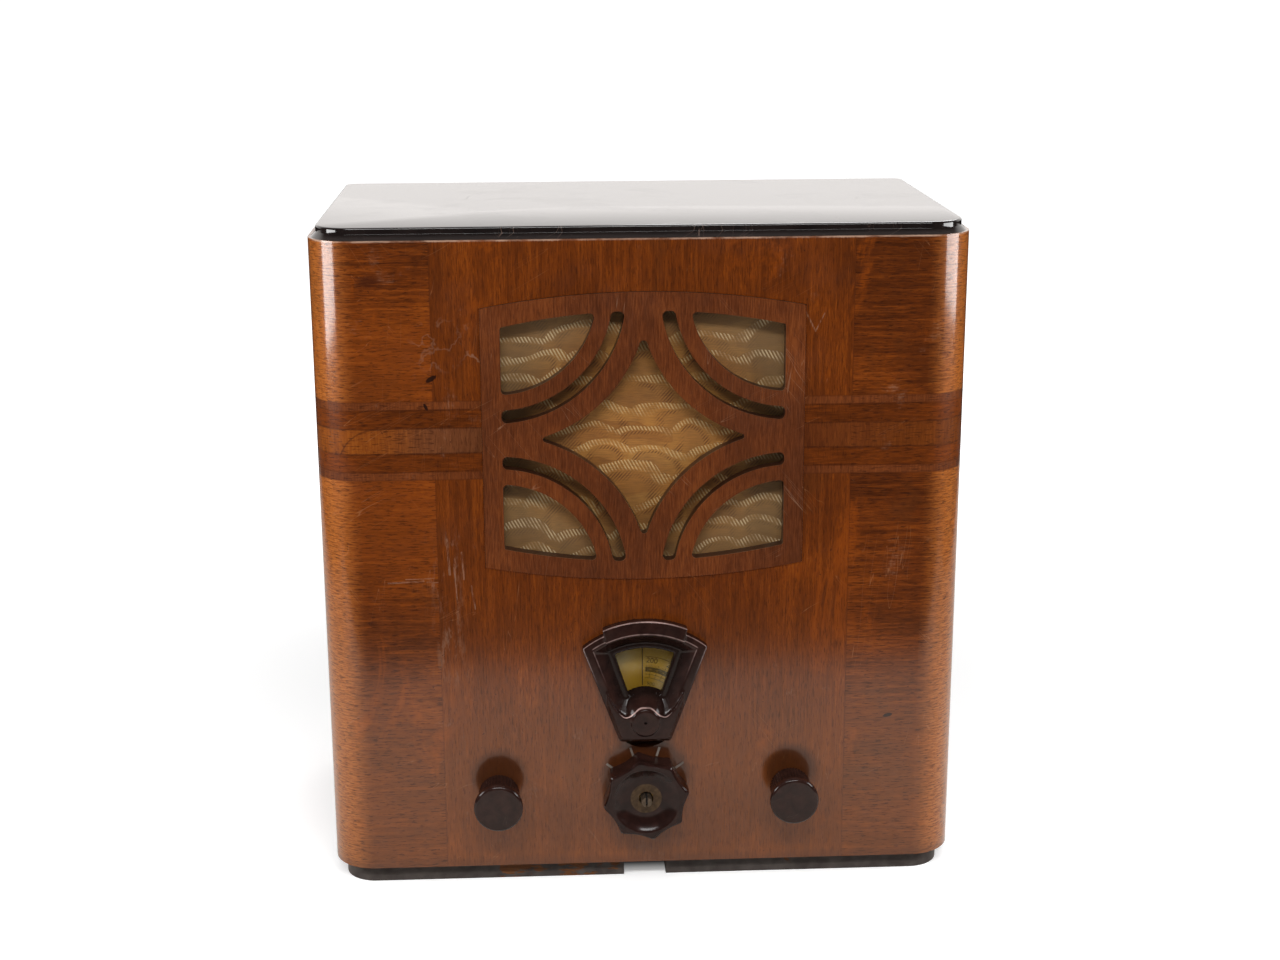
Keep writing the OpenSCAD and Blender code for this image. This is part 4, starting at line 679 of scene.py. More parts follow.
def fibrous(dark, light, roughness, scale):
    def recipe(tree):
        fibres = tree.place().stretch(scale, scale * 0.4, scale).noise(1, 5, 0.7)
        return polished(fibres.ramp(0.35, dark, 0.68, light), roughness, fibres.bump(0.12, 0.6))
    return recipe


def wound_wire(tree):
    turns = tree.wave(tree.place().split()[1], 0.35)
    colour = (turns * 0.5 + 0.5).ramp(0.2, (92, 46, 22), 0.9, (190, 112, 62))
    return polished(colour, 0.35, turns.bump(0.05, 0.7), 0.3)


def clear_sheet(colour, alpha, roughness):
    def recipe(tree):
        haze = tree.place().noise(0.05, 4, 0.6)
        sockets = {"Base Color": haze.fade(0.35, 0.7).blend(colour, (236, 228, 196)), "Roughness": roughness,
                   "Alpha": haze.fade(0.3, 0.75, alpha * 0.7, alpha * 1.5), "Specular IOR Level": 0.3,
                   "Normal": haze.bump(0.3, 0.2)}
        return tree.value("BsdfPrincipled", sockets)
    return recipe


STEEL = new_finish("sheet steel", metal((104, 98, 90), (176, 172, 166), 0.42))
MARK_METAL = new_finish("nickel marks", enamel((96, 84, 76), (156, 146, 136)))
SPINDLE_METAL = new_finish("turned steel", spindle_metal)
BRASS = new_finish("dull brass", metal((112, 84, 44), (196, 158, 88), 0.4))
ALUMINIUM = new_finish("spun aluminium", metal((146, 146, 148), (206, 207, 210), 0.36, (0.1, 0.1, 4.0)))
NICKEL = new_finish("grey electrodes", metal((60, 60, 62), (116, 116, 118), 0.5))
IRON_ENAMEL = new_finish("grey enamel", enamel((38, 40, 44), (62, 64, 68)))
BLACK_WIRE = new_finish("black wire", enamel((26, 20, 16), (44, 34, 28)))
PAXOLIN = new_finish("brown laminate", fibrous((84, 50, 26), (130, 84, 46), 0.5, 0.8))
PAPER = new_finish("black pressed paper", fibrous((34, 30, 27), (62, 55, 48), 0.85, 1.1))
TREATED_CLOTH = new_finish("treated cloth", fibrous((38, 31, 25), (70, 58, 46), 0.8, 1.6))
RUBBER = new_finish("black rubber", fibrous((20, 20, 20), (38, 37, 36), 0.75, 0.5))
COPPER = new_finish("enamelled copper", wound_wire)
GLASS = new_finish("blown glass", clear_sheet((206, 216, 214), 0.14, 0.05))
CLEAR_CELLULOID = new_finish("clear celluloid", clear_sheet((178, 140, 62), 0.05, 0.12))
print("small finishes:", len(bpy.data.materials))

# %% [markdown]
# ## Brocade
# The cloth behind the fretwork is a golden brocade with rows of hills. Every hill is an arch: a thin dark
# outline, a band of pale slanting stitches, a band of brown dashes and a plain golden foot. Rows overlap
# like roof tiles, so each point belongs either to the hill of its own row or, between two of those, to the
# hill behind. A slow noise pushes the rows about, because woven hills are never all alike. Light and dust
# have greyed the cloth towards its edges.

# %% Brocade finish
HILL_WIDTH, HILL_RISE, STITCH_PITCH, WARP_PITCH = 38.0, 14.0, 2.0, 0.62


def hill_distance(x, row, z):
    """Distance from the hill's foot (1 is its edge), the hill's number, and how near its top it is."""
    tree = x.tree
    luck = tree.chance(row, 3.7, 0)
    column = x / (luck * 14 + (HILL_WIDTH - 7)) + luck * 7.3
    number = tree.calc("FLOOR", column)
    across = (column.fraction() - 0.5) * 1.56
    up = highest(z / HILL_RISE - row, 0) / (tree.chance(number, row, 9) * 0.35 + 0.75)
    far = diagonal(across, up)
    return far, number, up / (far + 0.01)


def stitches(x, z, slope, low, high):
    """Parallel slanting stitches."""
    return x.tree.wave(x + z * slope, STITCH_PITCH).fade(low, high)


def brocade(tree):
    place = tree.place()
    push = tree.value("TexNoise", {"Vector": place, "Scale": 0.02, "Detail": 2.0}, "Color")
    push = tree.value("VectorMath", {0: push, 1: (0.5, 0.5, 0.5)}, operation="SUBTRACT").stretch(60, 0, 34)
    x, y, z = tree.value("VectorMath", {0: push, 1: place}, operation="ADD").split()
    true_x, _, true_z = place.split()
    row = tree.calc("FLOOR", z / HILL_RISE)
    near, behind = hill_distance(x, row, z), hill_distance(x, row + 1, z)
    inside = tree.calc("LESS_THAN", near[0], 1)
    far, hill, top = ((one - other) * inside + other for one, other in zip(near, behind))
    patchy = place.noise(0.11, 3).fade(0.34, 0.58, 0.15, 1)
    brown = far.band(0.42, 0.62, 0.08) * stitches(true_x, true_z, -0.9, -0.2, 0.5) * patchy
    crest = far.fade(0.62, 0.74) * far.fade(0.96, 1, 1, 0) * top.fade(0.3, 0.6)
    pale = crest * stitches(true_x, true_z, 0.55, -0.1, 0.5) * patchy
    below = far.band(0.99, 1.14, 0.03) * stitches(true_x, true_z, 0.7, -0.4, 0.3)
    weft = place.stretch(0.12, 1, 2.4).noise(1, 3, 0.75)
    threads = weft * 0.75 + (tree.wave(true_x, WARP_PITCH) * 0.5 + 0.5) * 0.16
    gold = tree.chance(hill, row, 0).ramp(0.0, (150, 96, 36), 0.5, (170, 114, 48), 1.0, (180, 126, 58))
    colour = layers(gold,
                    (far.fade(0, 0.7, 0.3, 0), (116, 70, 28)),
                    (place.noise(0.04, 5, 0.65).fade(0.42, 0.68, 0, 0.4), (122, 86, 46)),
                    (brown * 0.85, (88, 46, 16)),
                    (pale * 0.9, (212, 178, 122)),
                    (below * 0.75, (80, 44, 18)),
                    (threads.fade(0.28, 0.58, 0.6, 0), (88, 52, 22)),
                    (place.distance(0, GRILLE_MID).fade(44, 84, 0, 0.6),
                     pale.blend((112, 92, 62), (190, 172, 140))))
    sockets = {"Base Color": colour, "Roughness": 0.6, "Normal": (pale * 0.8 + threads * 0.8).bump(0.3, 0.8),
               "Sheen Weight": 0.2, "Sheen Roughness": 0.4, "Specular IOR Level": 0.35}
    return tree.value("BsdfPrincipled", sockets)


BROCADE = new_finish("hill brocade", brocade)
print("brocade:", HILL_WIDTH, "x", HILL_RISE, "mm hills")

# %% [markdown]
# ## The dial's face
# The dial is an amber celluloid disc with a printed scale: a dark arc, fine lines and ticks, which fill the
# half that turns under the pointer. Rings and ticks depend only on how far a point is from the dial's
# centre and in which direction, so they are drawn in the finish. Its numbers are shapes and come later.

# %% Dial finish
SCALE_START, SCALE_END = math.radians(2), math.radians(178)
FINE_STEP, BOLD_STEP, LINE_RINGS = 1.8, 9, (20.2, 22.4, 33.4)


def tick_nearness(angle, step):
    """0.5 on a tick and 0 halfway between two, for ticks that stand step degrees apart."""
    return abs((angle * (180 / (math.pi * step))).fraction() - 0.5)


def dial_face(tree):
    place = tree.place()
    x, y, z = place.split()
    up = z - DIAL_MID
    radius, angle = diagonal(x, up), tree.calc("ARCTAN2", x, up)
    fine, bold = tick_nearness(angle, FINE_STEP), tick_nearness(angle, BOLD_STEP)
    fine_ticks = fine.fade(0.36, 0.42) * radius.band(27, 28.2, 0.12)
    bold_ticks = bold.fade(0.455, 0.47) * radius.band(20, 28.6, 0.12)
    gaps = radius.band(25.1, 25.8, 0.1) * bold.fade(0.38, 0.4)
    broad = tree.calc("SUBTRACT", radius.band(24, 27, 0.12), gaps * 0.7, clamp=True)
    rings = [radius.band(ring - 0.14, ring + 0.14, 0.08) for ring in LINE_RINGS]
    ink = highest(broad, fine_ticks, bold_ticks, *rings) * angle.band(SCALE_START, SCALE_END, 0.004)
    age = place.noise(0.05, 4, 0.6)
    colour = layers(age.ramp(0.3, (138, 104, 26), 0.7, (164, 128, 40)),
                    (radius.fade(22, 40, 0, 0.35), (150, 136, 84)), (ink * 0.92, (36, 28, 12)),
                    (wear(place, 0.5)[2] * 0.6, (92, 72, 34)))
    return polished(colour, 0.32, age.bump(0.1, 0.3))


DIAL_FACE = new_finish("amber dial", dial_face)
DIAL_INK = new_finish("dial ink", fibrous((34, 26, 12), (50, 38, 16), 0.5, 1.5))
print("dial scale covers", round(math.degrees(SCALE_END - SCALE_START)), "degrees")

# %% [markdown]
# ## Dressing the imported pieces
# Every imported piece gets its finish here. Pieces that are modelled again below hide theirs, but a finish on
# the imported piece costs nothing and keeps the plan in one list.

# %% Finish for every node
FINISHES = {
    SIDE_VENEER: ["left_side", "right_side"],
    FRONT_VENEER: ["front_panel"],
    FRET_WOOD: ["grille_fret"],
    BLACK_POLISH: ["top_plate"],
    WORN_PAINT: ["plinth_front", "plinth_rails"],
    BARE_WOOD: ["top_board", "base_board", "glue_blocks", "back_battens", "speaker_board"],
    PRESSED_BOARD: ["back_cover"],
    BROCADE: ["speaker_cloth"],
    BROWN_RESIN: ["escutcheon", "volume_knob", "tone_knob"],
    WAVE_RESIN: ["wave_knob"],
    BLACK_RESIN: ["valve_bases", "control_pots", "drive_disc"],
    PAXOLIN: ["valve_holders", "wave_wafer", "wave_rotor", "socket_strip"],
    CLEAR_CELLULOID: ["dial_window"],
    DIAL_FACE: ["dial_disc"],
    BLACK_WIRE: ["dial_pointer"],
    MARK_METAL: ["switch_marks"],
    SPINDLE_METAL: ["tuning_spindle", "volume_spindle", "tone_spindle", "gang_rotor"],
    STEEL: ["chassis_deck", "chassis_walls", "control_bracket", "back_screws", "chassis_bolts",
            "speaker_bolts"],
    IRON_ENAMEL: ["speaker_basket", "field_magnet", "mains_transformer", "output_transformer"],
    BRASS: ["wave_sleeve", "lamp_holder", "socket_tubes"],
    ALUMINIUM: ["coil_cans", "gang_frame", "gang_stators", "smoothing_capacitors"],
    NICKEL: ["valve_electrodes"],
    GLASS: ["rectifier_bulb", "output_bulb", "signal_bulbs", "dial_lamp"],
    PAPER: ["speaker_cone"],
    TREATED_CLOTH: ["cone_surround", "speaker_spider"],
    COPPER: ["voice_coil"],
    RUBBER: ["mains_gland"],
}


def dress(piece, finish):
    if not piece.material_slots:
        piece.data.materials.append(finish)
    for slot in piece.material_slots:
        slot.material = finish


for finish, names in FINISHES.items():
    for name in names:
        dress(NODES[name], finish)
bare = set(NODES) - {name for names in FINISHES.values() for name in names}
print("dressed", len(NODES) - len(bare), "nodes, without a finish:", sorted(bare))

# %% [markdown]
# ## Modelling by hand
# From here on, pieces are modelled as in an editor: add a primitive, shape it in edit mode, finish it with
# modifiers. An operator acts on everything selected, so each step first deselects all. A script gains one
# thing over the mouse, which is exact places, so outlines are computed in millimetres on the front face: x
# to the right, z up, and depth behind the front face.

# %% Modelling words
def begin(*pieces):
    """Object mode, with only these pieces selected and the first one active."""
    if bpy.context.object and bpy.context.object.mode != "OBJECT":
        bpy.ops.object.mode_set(mode="OBJECT")
    bpy.ops.object.select_all(action="DESELECT")
    for piece in pieces:
        piece.select_set(True)
    if pieces:
        bpy.context.view_layer.objects.active = pieces[0]


def edit(piece, mode="VERT"):
    """Edit mode on one piece, with all of it selected."""
    begin(piece)
    bpy.ops.object.mode_set(mode="EDIT")
    bpy.ops.mesh.select_mode(type=mode)
    bpy.ops.mesh.select_all(action="SELECT")


def choose_edges(piece, test):
    """Edit mode on one piece, with only the edges that pass the test selected."""
    edit(piece, "EDGE")
    bpy.ops.mesh.select_all(action="DESELECT")
    bpy.ops.object.mode_set(mode="OBJECT")
    for edge in piece.data.edges:
        edge.select = bool(test(edge))
    bpy.ops.object.mode_set(mode="EDIT")


def outward(piece):
    """Merges doubles and turns all faces outwards."""
    edit(piece)
    bpy.ops.mesh.remove_doubles(threshold=1e-6)
    bpy.ops.mesh.normals_make_consistent(inside=False)
    begin(piece)


def modify(piece, kind, **settings):
    modifier = piece.modifiers.new(kind.lower(), kind)
    for key, value in settings.items():
        setattr(modifier, key, value)
    begin(piece)
    bpy.ops.object.modifier_apply(modifier=modifier.name)


def combine(piece, operation, *others):
    """Cuts, adds or keeps the others' shape, exactly, and removes them."""
    for other in others:
        modify(piece, "BOOLEAN", operation=operation, object=other, solver="EXACT")
        bpy.data.objects.remove(other)


def smooth(piece, degrees):
    begin(piece)
    bpy.ops.object.shade_smooth_by_angle(angle=math.radians(degrees))


def named(name, piece=None):
    """Names a piece, the active one if none is given, and its mesh alike."""
    piece = piece or bpy.context.object
    piece.name = piece.data.name = name
    return piece


def upright_ring(outline, depth):
    """Places in metres for an outline of (x, z) points, at a depth behind the front face."""
    return [(x * MM, FRONT_Y + depth * MM, z * MM) for x, z in outline]


def polygon(name, places, fill="NGON"):
    """One closed chain of corners, filled or open."""
    begin()
    bpy.ops.mesh.primitive_circle_add(vertices=len(places), fill_type=fill)
    piece = named(name)
    for vertex, place in zip(piece.data.vertices, places):
        vertex.co = place
    return piece


def slab(name, outline, near, far):
    """An upright prism over an outline of (x, z) points, from depth near to depth far."""
    piece = polygon(name, upright_ring(outline, near))
    edit(piece, "FACE")
    bpy.ops.mesh.extrude_region_move(TRANSFORM_OT_translate={"value": (0, (far - near) * MM, 0)})
    outward(piece)
    return piece


def lathed(name, profile, x, z, steps=96):
    """A piece turned about an axis into the front, from (radius, depth) points from axis to axis."""
    piece = polygon(name, [((x + radius) * MM, FRONT_Y + depth * MM, z * MM) for radius, depth in profile],
                    "NOTHING")
    last = {0, len(profile) - 1}
    if profile[0][0] == 0 and profile[-1][0] == 0:
        choose_edges(piece, lambda edge: set(edge.vertices) == last)
        bpy.ops.mesh.delete(type="EDGE")
    edit(piece)
    bpy.ops.mesh.spin(steps=steps, angle=2 * math.pi, center=(x * MM, 0, z * MM), axis=(0, 1, 0))
    outward(piece)
    return piece


def arc_points(centre_x, centre_z, radius, start, end, count):
    """Points of an arc; angles are in degrees, anticlockwise from the right."""
    turns = [math.radians(start + (end - start) * i / count) for i in range(count + 1)]
    return [(centre_x + radius * math.cos(a), centre_z + radius * math.sin(a)) for a in turns]


def take_place(piece, body, node, finish):
    """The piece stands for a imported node, rides with its body, and has its material slot and a finish."""
    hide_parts(node)
    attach(piece, body)
    dress(piece, finish)
    triangles = sum(len(face.vertices) - 2 for face in piece.data.polygons)
    print(piece.name, "stands for", node, "with", triangles, "triangles")


# %% [markdown]
# ## Outlines with rounded corners
# A fretsaw can't turn a sharp corner, so every opening of the grille has small rounds where two curves meet.
# Each curve of an outline is a wall: a circle that the shape lies inside or outside of. A straight line is
# the wall of a huge circle. A round that touches two walls has its centre where both walls, moved inwards by
# the round's radius, cross. That is all the geometry that rounding needs.

# %% Rounded outline
FAR = 100000.0


def line_wall(x, z, normal_x, normal_z):
    """A straight wall through (x, z); the shape lies on the side that the normal points to."""
    length = math.hypot(normal_x, normal_z)
    return (x + normal_x / length * FAR, z + normal_z / length * FAR, FAR, True)


def crossing(a, b, near):
    """Where two circles cross, nearest to a given point."""
    dx, dz = b[0] - a[0], b[1] - a[1]
    apart = math.hypot(dx, dz)
    along = (a[2] ** 2 - b[2] ** 2 + apart ** 2) / (2 * apart)
    off = math.sqrt(max(a[2] ** 2 - along ** 2, 0.0))
    middle = (a[0] + along * dx / apart, a[1] + along * dz / apart)
    both = [(middle[0] - s * off * dz / apart, middle[1] + s * off * dx / apart) for s in (1, -1)]
    return min(both, key=lambda p: math.hypot(p[0] - near[0], p[1] - near[1]))


def short_arc(centre, radius, start, end):
    """Points from start to end along a circle, the short way, with a chord error of 0.01 mm."""
    first = math.atan2(start[1] - centre[1], start[0] - centre[0])
    turn = math.remainder(math.atan2(end[1] - centre[1], end[0] - centre[0]) - first, 2 * math.pi)
    count = max(1, math.ceil(abs(turn) / (2 * math.acos(1 - min(0.01 / radius, 1.0)))))
    angles = [first + turn * i / count for i in range(count + 1)]
    return [(centre[0] + radius * math.cos(a), centre[1] + radius * math.sin(a)) for a in angles]


def rounded_outline(walls, corners, rounds):
    """walls are (x, z, radius, inside). Walls i and i+1 meet near corners[i], rounded by rounds[i]."""
    touches = []
    for i, (corner, radius) in enumerate(zip(corners, rounds)):
        pair = (walls[i], walls[(i + 1) % len(walls)])
        moved = [(x, z, r - radius if inside else r + radius) for x, z, r, inside in pair]
        centre = crossing(*moved, corner)
        ends = []
        for x, z, r, inside in pair:
            reach = math.hypot(centre[0] - x, centre[1] - z)
            ends.append((x + (centre[0] - x) * r / reach, z + (centre[1] - z) * r / reach))
        touches.append((centre, radius, ends))
    points = []
    for i, (centre, radius, ends) in enumerate(touches):
        wall = walls[i]
        points += short_arc(wall[:2], wall[2], touches[i - 1][2][1], ends[0])[:-1]
        points += short_arc(centre, radius, ends[0], ends[1])[:-1]
    return points


# %% [markdown]
# ## The fretwork grille
# The grille is a panel of plywood, sawn in a star between four quarter rings. Its outline has upright sides
# and gently arched top and bottom. Nine openings are cut from it: the star, four curved slots and four
# corners, all bounded by circles about four points just outside the panel's border. Cutting is what the real
# maker did, so here it is a Boolean with nine cutters, and a small bevel breaks the sawn edges.

# %% Fretwork
FRET_TOP = (GRILLE_HIGH.z - GRILLE_LOW.z) / 2 / MM
FRET_RISE, FRET_BORDER, FRET_BORDER_ARCH = 8.5, 11.0, 10.5
FRET_CENTRE, STAR_R, SLOT_OUTER_R, SLOT_INNER_R, CORNER_R = 81.5, 84.0, 72.0, 64.5, 55.7
FRET_NEAR, FRET_FAR = ((corner.y - FRONT_Y) / MM for corner in (GRILLE_LOW, GRILLE_HIGH))
SAWN_EDGE, SLOT_ROUND = 0.45, 2.9


def arch_wall(half_width, top, sign):
    """The curved top (sign 1) or bottom (sign -1) wall of an arched outline."""
    radius = (half_width ** 2 + FRET_RISE ** 2) / (2 * FRET_RISE)
    return (0.0, sign * (top - radius), radius, True)


def raised(points):
    """Moves an outline from round the origin to round the grille's middle."""
    return [(x, z + GRILLE_MID) for x, z in points]


def arched_outline(half_width, top, rounding):
    """The panel's own outline, with upright sides and arched top and bottom."""
    walls = [line_wall(half_width, 0, -1, 0), arch_wall(half_width, top, 1),
             line_wall(-half_width, 0, 1, 0), arch_wall(half_width, top, -1)]
    side = top - FRET_RISE
    corners = [(half_width, side), (-half_width, side), (-half_width, -side), (half_width, -side)]
    return raised(rounded_outline(walls, corners, [rounding] * 4))


def disc(sx, sz, radius, inside):
    """A round wall about one of the four points, chosen by the signs of its x and z."""
    return (sx * FRET_CENTRE, sz * FRET_CENTRE, radius, inside)


def star_outline():
    walls = [disc(sx, sz, STAR_R, False) for sx, sz in ((1, 1), (1, -1), (-1, -1), (-1, 1))]
    return raised(rounded_outline(walls, [(54, 0), (0, -54), (-54, 0), (0, 54)], [1.7, 2.0, 1.7, 2.1]))


def quarter_outlines(sx, sz):
    """The curved slot and the corner opening of one quarter."""
    edge, top = FRET_HALF_W - FRET_BORDER, FRET_TOP - FRET_BORDER_ARCH
    side, arch = line_wall(sx * edge, 0, -sx, 0), arch_wall(edge, top, sz)
    slot_walls = [disc(sx, sz, SLOT_OUTER_R, True), side, disc(sx, sz, SLOT_INNER_R, False), arch]
    slot_corners = [(sx * 78, sz * 11), (sx * 78, sz * 16), (sx * 17, sz * 71), (sx * 11, sz * 71)]
    corner_walls = [disc(sx, sz, CORNER_R, True), side, arch]
    corner_corners = [(sx * 78, sz * 28), (sx * 78, sz * 62), (sx * 29, sz * 70)]
    return (raised(rounded_outline(slot_walls, slot_corners, [SLOT_ROUND] * 4)),
            raised(rounded_outline(corner_walls, corner_corners, [2.4, 1.4, 2.4])))


def make_fretwork():
    panel = slab("fretwork", arched_outline(FRET_HALF_W, FRET_TOP, 0.8), FRET_NEAR, FRET_FAR)
    outlines = [star_outline()]
    for sx in (-1, 1):
        for sz in (-1, 1):
            outlines += quarter_outlines(sx, sz)
    for outline in outlines:
        combine(panel, "DIFFERENCE", slab("saw_cut", outline, FRET_NEAR - 1, FRET_FAR + 1))
    modify(panel, "BEVEL", width=SAWN_EDGE * MM, segments=2, limit_method="ANGLE",
           angle_limit=math.radians(40))
    smooth(panel, 35)
    modify(panel, "WEIGHTED_NORMAL", keep_sharp=True, weight=100)
    return panel


fretwork = make_fretwork()
take_place(fretwork, "cabinet", "grille_fret", FRET_WOOD)

# %% [markdown]
# ## The grille cloth
# The brocade is stretched flat over the speaker board behind the fretwork. Old cloth never lies quite flat:
# it ripples a fraction of a millimetre between the places where it is glued. A fine grid is mapped onto the
# arched outline, so that its edge follows the panel without any cutting, and pushed about by slow waves.

# %% Cloth
CLOTH_LOW, CLOTH_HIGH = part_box("speaker_cloth")
CLOTH_COLUMNS, CLOTH_ROWS, RIPPLE = 96, 88, 0.07


def cloth_place(u, v):
    """A point of the cloth for u and v from -1 to 1: across the width, and up between the arched edges."""
    half_width = CLOTH_HIGH.x / MM
    top = (CLOTH_HIGH.z - CLOTH_LOW.z) / 2 / MM
    radius = arch_wall(half_width, top, 1)[2]
    x = u * half_width
    edge = top - radius + math.sqrt(radius ** 2 - x ** 2)
    z = v * edge
    calm = (1 - u ** 4) * (1 - v ** 4)
    ripple = math.sin(x / 11 + math.sin(z / 17)) * RIPPLE + math.sin(z / 13 + 1.3 * math.sin(x / 23)) * RIPPLE
    middle = (CLOTH_LOW.y + CLOTH_HIGH.y) / 2
    return (x * MM, middle + calm * ripple * MM, GRILLE_Z + z * MM)


def make_cloth():
    begin()
    bpy.ops.mesh.primitive_grid_add(x_subdivisions=CLOTH_COLUMNS, y_subdivisions=CLOTH_ROWS, size=2)
    cloth = named("grille_cloth")
    for vertex in cloth.data.vertices:
        vertex.co = cloth_place(vertex.co.x, vertex.co.y)
    outward(cloth)
    bpy.ops.object.shade_smooth()
    if sum(face.normal.y for face in cloth.data.polygons) > 0:
        edit(cloth)
        bpy.ops.mesh.flip_normals()
        begin(cloth)
    return cloth


cloth = make_cloth()
take_place(cloth, "cabinet", "speaker_cloth", BROCADE)

# %% [markdown]
# ## The moulded escutcheon
# The dial looks out of a moulded frame: a fan with a flat rim, a raised tab on top, a funnel sloping down to
# the window and a boss that rises like a cut-off cone. Press tools have no sharp inside corners, and a fused
# form catches thin lights along its edges. So the parts are first put together roughly, by joining prisms,
# hulls and a turned cone, and a voxel remesh then fuses them into one skin, which a few rounds of smoothing
# soften as polishing did.

# %% Escutcheon outline
SHOULDER_R, TAB_R, MOUTH_R = 57.4, 61.2, 53.7
ESC_PROUD, TAB_PROUD, LIP_PROUD, BOSS_PROUD = 6.0, 8.0, 9.0, 10.5
WINDOW_R, WINDOW_SLOPE, WINDOW_ROOT_R, SKIRT_END = 42.7, math.radians(17.7), 18.0, 3.5 - 0.05
TAB_HALF_ANGLE, PIN_HOLE_R, VOXEL = 23.6, 0.85, 0.52


def at_dial(points):
    """Moves an outline from round the origin to round the dial's axis."""
    return [(x, z + DIAL_MID) for x, z in points]


def fan_outline(top, half_width, foot, slope, low_wall, corners, rounds):
    """A fan: a round top, two straight sides that open upwards from a foot, and a low wall."""
    left, right = (line_wall(side * half_width, foot, -side * math.cos(slope), math.sin(slope))
                   for side in (-1, 1))
    corners = [(-x, z) for x, z in corners] + corners[::-1]
    return at_dial(rounded_outline([(0.0, 0.0, top, True), left, low_wall, right], corners, rounds))


def escutcheon_outline(inset):
    """The outline of the whole moulding, smaller by inset."""
    half_width = FOOT_HALF_W - inset / math.cos(SIDE_SLOPE)
    return fan_outline(SHOULDER_R - inset, half_width, -FOOT_DROP, SIDE_SLOPE,
                       line_wall(0, inset - FOOT_DROP, 0, 1), [(35, 43), (14, -13)], [1.5, 2.5, 2.5, 1.5])


def window_outline(root, top, grow):
    """The window's fan between two radii, with its sides moved out by grow."""
    apex = -WINDOW_ROOT_R * 0.85
    spread = math.tan(WINDOW_SLOPE)
    corners = [((top - apex) * spread, top * 0.95), ((root - apex) * spread, root)]
    return fan_outline(top, grow / math.cos(WINDOW_SLOPE), apex, WINDOW_SLOPE, (0.0, 0.0, root, False),
                       corners, [0.6] * 4)


def lip_height(x):
    """Height of the lower plateau's curved lip, which dips beside the boss and rises over it."""
    hump = math.exp(-(abs(x) / LIP_HUMP_W) ** 3.2)
    rise = (max(0.0, abs(x) - LIP_RISE_FROM) / LIP_RISE_W) ** 1.6
    return LIP_LEVEL + LIP_HUMP * hump + LIP_RISE * rise


# %% Escutcheon
def hull_of(name, *slabs):
    """The tightest convex skin round several slabs."""
    begin(*slabs)
    bpy.ops.object.join()
    piece = named(name)
    edit(piece)
    bpy.ops.mesh.convex_hull()
    outward(piece)
    return piece


def fan_body():
    """The flat rim with its slightly sloping outer wall, and the tab on top of it."""
    body = hull_of("escutcheon_moulding", slab("low", escutcheon_outline(0), -ESC_PROUD + 1.2, 0.4),
                   slab("high", escutcheon_outline(0.7), -ESC_PROUD, -ESC_PROUD + 1))
    outer = arc_points(0, 0, TAB_R, 90 - TAB_HALF_ANGLE, 90 + TAB_HALF_ANGLE, 40)
    inner = arc_points(0, 0, MOUTH_R - 1.2, 90 + 25.2, 90 - 25.2, 40)
    combine(body, "UNION", slab("tab", at_dial(outer + inner), -TAB_PROUD, -1))
    return body


def funnel():
    """The cutter that slopes from the wide mouth down to the window."""
    mouth = slab("mouth", at_dial(arc_points(0, 0, MOUTH_R, 40, 140, 60) + [(-24, 4), (24, 4)]),
                 -TAB_PROUD - 1, -ESC_PROUD + 0.1)
    combine(mouth, "INTERSECT", slab("mouth_limit", escutcheon_outline(5.6), -20, 5))
    return hull_of("funnel", mouth, slab("throat", window_outline(20, WINDOW_R, 0), 2.0, 2.1))


def lower_plateau():
    """The raised lower part, with its curved lip above and sloping walls at the sides."""
    lip = [(0.5 * i - 22, lip_height(0.5 * i - 22)) for i in reversed(range(89))]
    plateau = slab("lower_plateau", at_dial(lip + [(-22, -20), (22, -20)]), -LIP_PROUD, -2)
    limit = hull_of("plateau_limit", slab("low", escutcheon_outline(0.7), -ESC_PROUD, 1),
                    slab("high", escutcheon_outline(3.0), -LIP_PROUD - 0.2, -LIP_PROUD))
    combine(plateau, "INTERSECT", limit)
    return plateau


def window_skirt():
    """The short wall behind the rim that holds the window."""
    skirt = slab("skirt", window_outline(13, WINDOW_R + 3, 3), -1, SKIRT_END)
    combine(skirt, "DIFFERENCE", slab("throat", window_outline(15, WINDOW_R, 0), -3, 6))
    return skirt


def make_escutcheon():
    moulding = fan_body()
    combine(moulding, "DIFFERENCE", funnel())
    combine(moulding, "UNION", lower_plateau(), window_skirt())
    combine(moulding, "DIFFERENCE", slab("throat", window_outline(16, WINDOW_R, 0), 0, 6))
    cone = [(0, -BOSS_PROUD), (7.4, -BOSS_PROUD), (8.0, -BOSS_PROUD + 0.25), (8.7, -LIP_PROUD - 0.1),
            (10.6, -7.0), (WINDOW_ROOT_R, 2.4), (WINDOW_ROOT_R, SKIRT_END), (0, SKIRT_END)]
    combine(moulding, "UNION", lathed("boss", cone, 0, DIAL_MID))
    modify(moulding, "REMESH", mode="VOXEL", voxel_size=VOXEL * MM)
    modify(moulding, "SMOOTH", factor=0.5, iterations=2)
    top, bottom = -BOSS_PROUD - 1, -BOSS_PROUD + 2.5
    pin = [(0, top), (PIN_HOLE_R, top), (PIN_HOLE_R, bottom), (0, bottom)]
    combine(moulding, "DIFFERENCE", lathed("pin_hole", pin, 0, DIAL_MID, 24))
    smooth(moulding, 50)
    return moulding


escutcheon = make_escutcheon()
take_place(escutcheon, "cabinet", "escutcheon", ESCUTCHEON_RESIN)

# %% [markdown]
# ## The two round knobs
# Each has a slightly domed face disc with a rounded edge, in front of a narrower body with fine ribs for the
# fingers. The disc is turned from its profile; the ribbed body is one prism whose outline zigzags. The
# second knob is a copy, moved over in edit mode so that its object stays at the origin.

